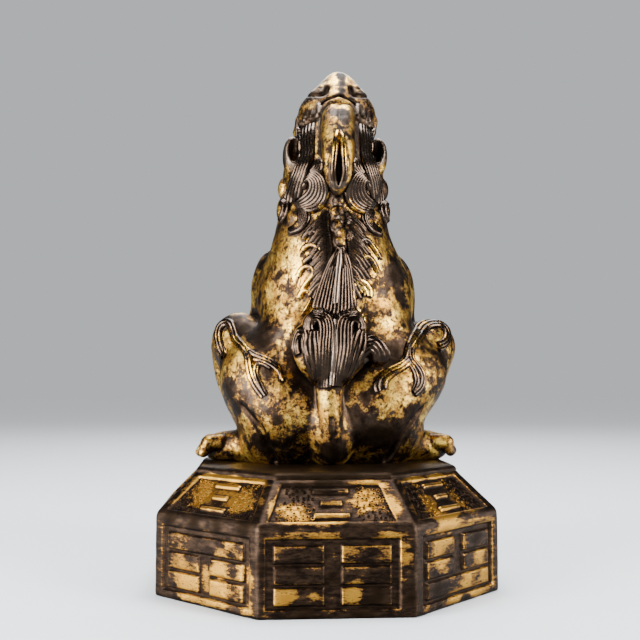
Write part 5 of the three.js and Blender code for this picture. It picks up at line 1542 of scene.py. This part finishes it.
def plinth_rows():
    """Each row: corner radius, height, columns, the way out of the face, its kind and its v."""
    out_of_slope = (SLOPE_HEIGHT / SLANT, FALL / SLANT)
    rows = []
    for radius, z in FOOT_PROFILE:
        rows.append((radius, z, wall_columns(radius), OUT_OF_WALL, "edge", z))
    for z in wall_rows:
        rows.append((FOOT_RADIUS, z, wall_columns(FOOT_RADIUS), OUT_OF_WALL, "wall", z))
    first, last = wall_columns(FOOT_RADIUS), slope_columns(slope_rows[0])
    turn = math.atan2(FALL, SLOPE_HEIGHT)
    round_off = BEND_REACH / math.tan(turn / 2)
    for share in (0.25, 0.5, 0.75):
        radius = FOOT_RADIUS - round_off * (1 - math.cos(share * turn)) / math.cos(HALF_SIDE)
        z = WALL_HEIGHT - BEND_REACH + round_off * math.sin(share * turn)
        between = first * (1 - share) + last * share
        rows.append((radius, z, between, OUT_OF_BEND, "edge", z))
    for v in slope_rows:
        z = WALL_HEIGHT + v * SLOPE_HEIGHT / SLANT
        rows.append((slope_radius(v), z, slope_columns(v), out_of_slope, "slope", v))
    start = slope_columns(slope_rows[-1])
    base = slope_radius(slope_rows[-1]) * math.sin(HALF_SIDE) - CORNER_REACH
    for radius, z in RIM_PROFILE:
        end = radius * math.sin(HALF_SIDE) - CORNER_REACH
        rows.append((radius, z, start * end / base, OUT_OF_RIM, "rim", z))
    return rows


# %% One row round the plinth
# How rubbed a corner, an edge and the rim are, and how much painted shade a panel's sunk ground gets.
CORNER_RUB, RUBBED = 0.8, {"edge": 0.6, "rim": 0.3}
GROUND_SHADE = {"wall": 0.15, "slope": 0.3}


def face_row(side, us, kind, v):
    """Height, hollow and proud marks of one row in one face, and how far its panel is shifted."""
    from_corner = us.max() - np.abs(us)
    rub = CORNER_RUB * np.exp(-(from_corner + CORNER_REACH))
    if kind in RUBBED:
        return np.zeros_like(us), np.zeros_like(us), np.maximum(rub, RUBBED[kind]), 0.0
    level = np.full_like(us, v)
    gap = wall_gap(side, us, level) if kind == "wall" else slope_gap(us, level)
    height = relief(gap, PANEL_DEPTH if kind == "wall" else SLOPE_PANEL_DEPTH)
    # The sunk ground is painted darker as shade, most where it meets the raised edges.
    hollow = np.where(gap < 0, GROUND_SHADE[kind] + 0.6 * np.exp(gap / 0.6), 0.0)
    proud = np.where(gap >= 0, rub - 0.9 * np.exp(-gap / 0.22), rub)
    return height, hollow, proud, PANEL_SHIFT.get(side, 0) * ease(from_corner / 2.2)


def round_the_plinth(radius, z, us, out, kind, v):
    """One row's points and marks, eight faces with a rounded corner after each."""
    arc = CORNER_REACH / math.tan(HALF_SIDE)
    centre = radius - arc / math.cos(HALF_SIDE)
    ring, hollows, prouds = [], [], []
    for side in range(8):
        turn = 2 * side * HALF_SIDE
        height, hollow, proud, shifted = face_row(side, us, kind, v)
        across, shift = us + shifted, radius * math.cos(HALF_SIDE) + height * out[0]
        x = across * math.cos(turn) + shift * math.sin(turn)
        y = across * math.sin(turn) - shift * math.cos(turn)
        ring.append(np.column_stack([x, y, z + height * out[1]]))
        corner = turn + HALF_SIDE - math.pi / 2
        for n in (1, 2, 3):
            angle = corner - HALF_SIDE + n * HALF_SIDE / 2
            ring.append(np.array([[centre * math.cos(corner) + arc * math.cos(angle),
                                   centre * math.sin(corner) + arc * math.sin(angle), z]]))
        hollows += [hollow, np.zeros(3)]
        prouds += [proud, np.full(3, CORNER_RUB)]
    return np.vstack(ring), np.concatenate(hollows), np.concatenate(prouds)


# %% The plinth's mesh
def plinth_mesh():
    """Rows joined to each other, and closed with a fan at the foot and at the top."""
    rows = [round_the_plinth(*row) for row in plinth_rows()]
    count = len(rows[0][0])
    faces = []
    for low in range(0, (len(rows) - 1) * count, count):
        high = low + count
        faces += [(low + i, low + (i + 1) % count, high + (i + 1) % count, high + i) for i in range(count)]
    points = np.vstack([row[0] for row in rows])
    hollow, proud = (np.concatenate([row[n] for row in rows]) for n in (1, 2))
    foot, head, last = len(points), len(points) + 1, len(points) - count
    points = np.vstack([points, [[0, 0, 0], [0, 0, points[-1][2]]]])
    hollow, proud = np.append(hollow, [0, 0]), np.append(proud, [0, 0])
    faces += [(foot, (i + 1) % count, i) for i in range(count)]
    faces += [(head, last + i, last + (i + 1) % count) for i in range(count)]
    return points, faces, hollow, proud


# Height, size and seed of the lumps that hand finishing leaves, in mm.
UNEVENNESS = ((0.10, 7.0, 1), (0.06, 2.6, 2), (0.03, 1.2, 3))
DENT_DEPTH, DENT_SIZE, DENT_SEED = 0.16, 3.4, 4  # dents in the rubbed edges
ALL_ROUND_WEAR, FOOT_KEPT, RIM_FOOT, RIM_BARE = 0.1, 0.05, 31.75, 0.7

points, faces, hollow, proud = plinth_mesh()
uneven = sum(depth * lumps(points, size, seed) for depth, size, seed in UNEVENNESS)
uneven -= DENT_DEPTH * proud * np.clip(lumps(points, DENT_SIZE, DENT_SEED), 0, 1)
outward = points * (1, 1, 0.0)
outward /= np.maximum(np.linalg.norm(outward, axis=1), 1e-6)[:, None]
uneven = np.where(points[:, 2] < FOOT_KEPT, 0, uneven - ALL_ROUND_WEAR)
points = points + outward * uneven[:, None]
bare = bare_marks(points, PLINTH_PATCHES) + RIM_BARE * (points[:, 2] > RIM_FOOT)
plinth = new_piece("trigram_plinth", points, faces, {"hollow": hollow, "proud": proud, "bare": bare})
plinth.data.materials.append(plinth_gilt)
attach(plinth, "root")
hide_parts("plinth")
print("plinth of", triangles_of(plinth), "triangles")

# %% [markdown]
# ## Punched ground
# The sloping panels' ground is struck all over with a small ring punch, and each pit is painted near
# black as shade. Hundreds of the same mark are what instances are for: Geometry Nodes scatter points
# at a least distance from each other, set a rim round a low cone on each, flat on the face, and make
# them real at the end. The cone carries a mark of its own, which the finish paints near black as shade.

# %% The tree of the punched marks
RING_GAP, RING_RADIUS, RING_WIRE, RING_SEED = 0.98, 0.38, 0.12, 7
RING_SIDES, WIRE_SIDES, PIT_SIDES = 8, 3, 6
PIT_TOP, PIT_DEPTH = 0.06, 0.12
SMALLEST, LARGEST = 0.8, 1.15


def ring_tree():
    tree, given, made, sockets = new_group(
        "GeometryNodeTree", "punched_ground",
        [("Geometry", GEOMETRY, None), ("Gap", FLOAT, RING_GAP), ("Radius", FLOAT, RING_RADIUS),
         ("Wire", FLOAT, RING_WIRE), ("Seed", WHOLE, RING_SEED), ("Finish", FINISH, None)],
        [("Geometry", GEOMETRY)],
    )
    spots = add(tree, "GeometryNodeDistributePointsOnFaces", {
        "Mesh": given.outputs["Geometry"], "Distance Min": given.outputs["Gap"], "Density Max": 3.0,
        "Seed": given.outputs["Seed"],
    }, distribute_method="POISSON")
    hoop = add(tree, "GeometryNodeCurvePrimitiveCircle", {"Resolution": RING_SIDES,
                                                          "Radius": given.outputs["Radius"]})
    wire = add(tree, "GeometryNodeCurvePrimitiveCircle", {"Resolution": WIRE_SIDES,
                                                          "Radius": given.outputs["Wire"]})
    rim = add(tree, "GeometryNodeCurveToMesh", {"Curve": hoop.outputs[0], "Profile Curve": wire.outputs[0]})
    floor = add(tree, "GeometryNodeMeshCone", {"Vertices": PIT_SIDES, "Radius Top": PIT_TOP,
                                               "Radius Bottom": given.outputs["Radius"],
                                               "Depth": PIT_DEPTH})
    dark = add(tree, "GeometryNodeStoreNamedAttribute", {"Geometry": floor.outputs["Mesh"], "Name": "pit",
                                                         "Value": 1.0}, data_type="FLOAT")
    ring = add(tree, "GeometryNodeJoinGeometry", {"Geometry": rim.outputs[0]})
    tree.links.new(dark.outputs[0], ring.inputs[0])
    size = add(tree, "FunctionNodeRandomValue",
               {2: SMALLEST, 3: LARGEST, "Seed": given.outputs["Seed"]}, data_type="FLOAT")
    rings = add(tree, "GeometryNodeInstanceOnPoints", {
        "Points": spots.outputs["Points"], "Instance": ring.outputs[0],
        "Rotation": spots.outputs["Rotation"], "Scale": size.outputs[1],
    })
    cast_in_metal(tree, given, made, rings.outputs[0])
    return tree, sockets


# %% The ground they are struck on
GROUND_MARGIN, STROKE_MARGIN = 0.5, 0.9
GROUND_LIFT = 0.08  # over the sunk panel, so the pits' undersides are hidden in it


def slope_spot(side, u, v, height):
    turn = 2 * side * HALF_SIDE
    out = FOOT_RADIUS * math.cos(HALF_SIDE) - v * FALL / SLANT + height * SLOPE_HEIGHT / SLANT
    z = WALL_HEIGHT + v * SLOPE_HEIGHT / SLANT + height * FALL / SLANT
    return (u * math.cos(turn) + out * math.sin(turn), u * math.sin(turn) - out * math.cos(turn), z)


ground_points, ground_faces = [], []
for side in range(8):
    for hand in (-1, 1):
        inner = STROKE_REACH + STROKE_MARGIN
        low, high = SLOPE_PANEL_LOW + GROUND_MARGIN, SLOPE_PANEL_HIGH - GROUND_MARGIN
        corners = [(inner, low), (slope_panel_half(low) - GROUND_MARGIN, low),
                   (slope_panel_half(high) - GROUND_MARGIN, high), (inner, high)]
        start, level = len(ground_points), GROUND_LIFT - SLOPE_PANEL_DEPTH
        ground_points += [slope_spot(side, hand * u, v, level) for u, v in corners]
        order = (0, 1, 2, 3) if hand > 0 else (3, 2, 1, 0)
        ground_faces.append([start + n for n in order])
guide = bpy.data.meshes.new("punched_ground")
guide.from_pydata(ground_points, [], ground_faces)
print(len(ground_faces), "fields of punched ground")

# %% Punched marks made a piece
RIM_SHADE, RING_BARE = 0.3, 0.15
rings = new_object("punched_ground", guide)
RINGS, RING_SOCKETS = ring_tree()
scatter = rings.modifiers.new("rings", "NODES")
scatter.node_group = RINGS
scatter[RING_SOCKETS["Finish"]] = plinth_gilt
plain_mesh(rings)
outwards(rings.data)
ring_points, ring_normals = points_and_normals(rings.data)
pit = marked(rings.data, "pit")
# Each ring's downward-facing side is painted darker as shade, and each pit near black as shade.
over = np.clip(0.5 + 0.5 * ring_normals[:, 2] / SLOPE_CLIMB, 0, 1)
mark(rings.data, {
    "hollow": np.maximum(RIM_SHADE * (1 - over), pit), "proud": np.zeros(len(over)),
    "bare": RING_BARE + bare_marks(ring_points, PLINTH_PATCHES),
})
placed(rings.data, ring_points)
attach(rings, "root")
print("punched marks:", int(pit.sum()) // (2 * PIT_SIDES), "of", triangles_of(rings), "triangles")

# %% [markdown]
# ## Light and floor
# The photograph was lit by a soft box on each side and a softer one from above, which draws long
# bright bands down the flanks. Smaller low ones light the plinth's side walls and the rump. Metal
# shows what surrounds it, so in reflections the room is dim and the floor as dark as the cloth in
# the photograph, while to the camera the floor is plain and pale.

# %% Soft boxes
def soft_box(name, spot, aim, size, watts):
    """A rectangle of light at a place in metres, turned to face what it is aimed at."""
    data = bpy.data.lights.new(name, "AREA")
    data.shape = "RECTANGLE"
    data.size, data.size_y = size
    data.energy = watts
    lamp = new_object(name, data)
    lamp.location = spot
    lamp.rotation_mode = "QUATERNION"
    lamp.rotation_quaternion = (Vector(aim) - Vector(spot)).to_track_quat("-Z", "Y")


AIM, LOW_AIM, RUMP_AIM = (0, 0, 0.08), (0, -0.02, 0.02), (0, -0.02, 0.045)
soft_box("left_box", (-0.42, -0.24, 0.24), AIM, (0.20, 0.40), 5.2)
soft_box("right_box", (0.40, -0.28, 0.22), AIM, (0.14, 0.34), 5.6)
soft_box("top_box", (0.02, 0.05, 0.55), AIM, (0.24, 0.18), 4.3)
soft_box("front_box", (0.05, 0.5, 0.55), AIM, (0.4, 0.4), 3.5)
soft_box("low_left_box", (-0.44, -0.10, 0.06), LOW_AIM, (0.2, 0.14), 1.5)
soft_box("near_left_box", (-0.34, -0.48, 0.05), RUMP_AIM, (0.3, 0.16), 3.2)
soft_box("floor_panel", (-0.24, -0.20, 0.012), (0, -0.02, 0.08), (0.16, 0.10), 1.0)
soft_box("low_right_box", (0.46, -0.03, 0.06), LOW_AIM, (0.2, 0.14), 0.8)

# %% The room, dim where metal mirrors it
FLOOR_COLOUR, MIRRORED_FLOOR = (0.62, 0.65, 0.68), (0.2, 0.22, 0.24)
ROOM_LIGHT, MIRRORED_LIGHT, MIRRORED_ROOM = 0.85, 0.06, (0.80, 0.90, 1.0)
world = bpy.data.worlds.new("dim_room")
bpy.context.scene.world = world
world.use_nodes = True
tree = world.node_tree
tree.nodes.clear()
path = add(tree, "ShaderNodeLightPath")
fill = add(tree, "ShaderNodeBackground", {"Color": (1, 1, 1, 1), "Strength": ROOM_LIGHT})
dim = add(tree, "ShaderNodeBackground", {"Color": (*MIRRORED_ROOM, 1), "Strength": MIRRORED_LIGHT})
seen = add(tree, "ShaderNodeBackground", {"Color": (*FLOOR_COLOUR, 1), "Strength": ROOM_LIGHT})
mirror = add(tree, "ShaderNodeMixShader", {0: path.outputs["Is Glossy Ray"], 1: fill.outputs[0],
                                           2: dim.outputs[0]})
both = add(tree, "ShaderNodeMixShader", {0: path.outputs["Is Camera Ray"], 1: mirror.outputs[0],
                                         2: seen.outputs[0]})
add(tree, "ShaderNodeOutputWorld", {"Surface": both.outputs[0]})
print("room light", ROOM_LIGHT, "and in reflections", MIRRORED_LIGHT)

# %% The floor
FLOOR_REACH = 3.0
floor_mesh = bpy.data.meshes.new("floor")
corners = [(x * FLOOR_REACH, y * FLOOR_REACH, 0) for x, y in ((-1, -1), (1, -1), (1, 1), (-1, 1))]
floor_mesh.from_pydata(corners, [], [(0, 1, 2, 3)])
floor = new_object("floor", floor_mesh)
pale = bpy.data.materials.new("pale_floor")
pale.use_nodes = True
tree = pale.node_tree
tree.nodes.clear()
path = add(tree, "ShaderNodeLightPath")
cloth = add(tree, "ShaderNodeBsdfDiffuse", {"Color": (*FLOOR_COLOUR, 1)})
shade = add(tree, "ShaderNodeBsdfDiffuse", {"Color": (*MIRRORED_FLOOR, 1)})
both = add(tree, "ShaderNodeMixShader", {0: path.outputs["Is Glossy Ray"], 1: cloth.outputs[0],
                                         2: shade.outputs[0]})
add(tree, "ShaderNodeOutputMaterial", {"Surface": both.outputs[0]})
floor_mesh.materials.append(pale)
floor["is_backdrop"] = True
print("floor of", 2 * FLOOR_REACH, "m each way")

# %% [markdown]
# ## The visual model's size
# Its box is printed in mm.

# %% Size
low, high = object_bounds()
print("visual box in mm:", [round(v / MM, 1) for v in (*low, *high)])
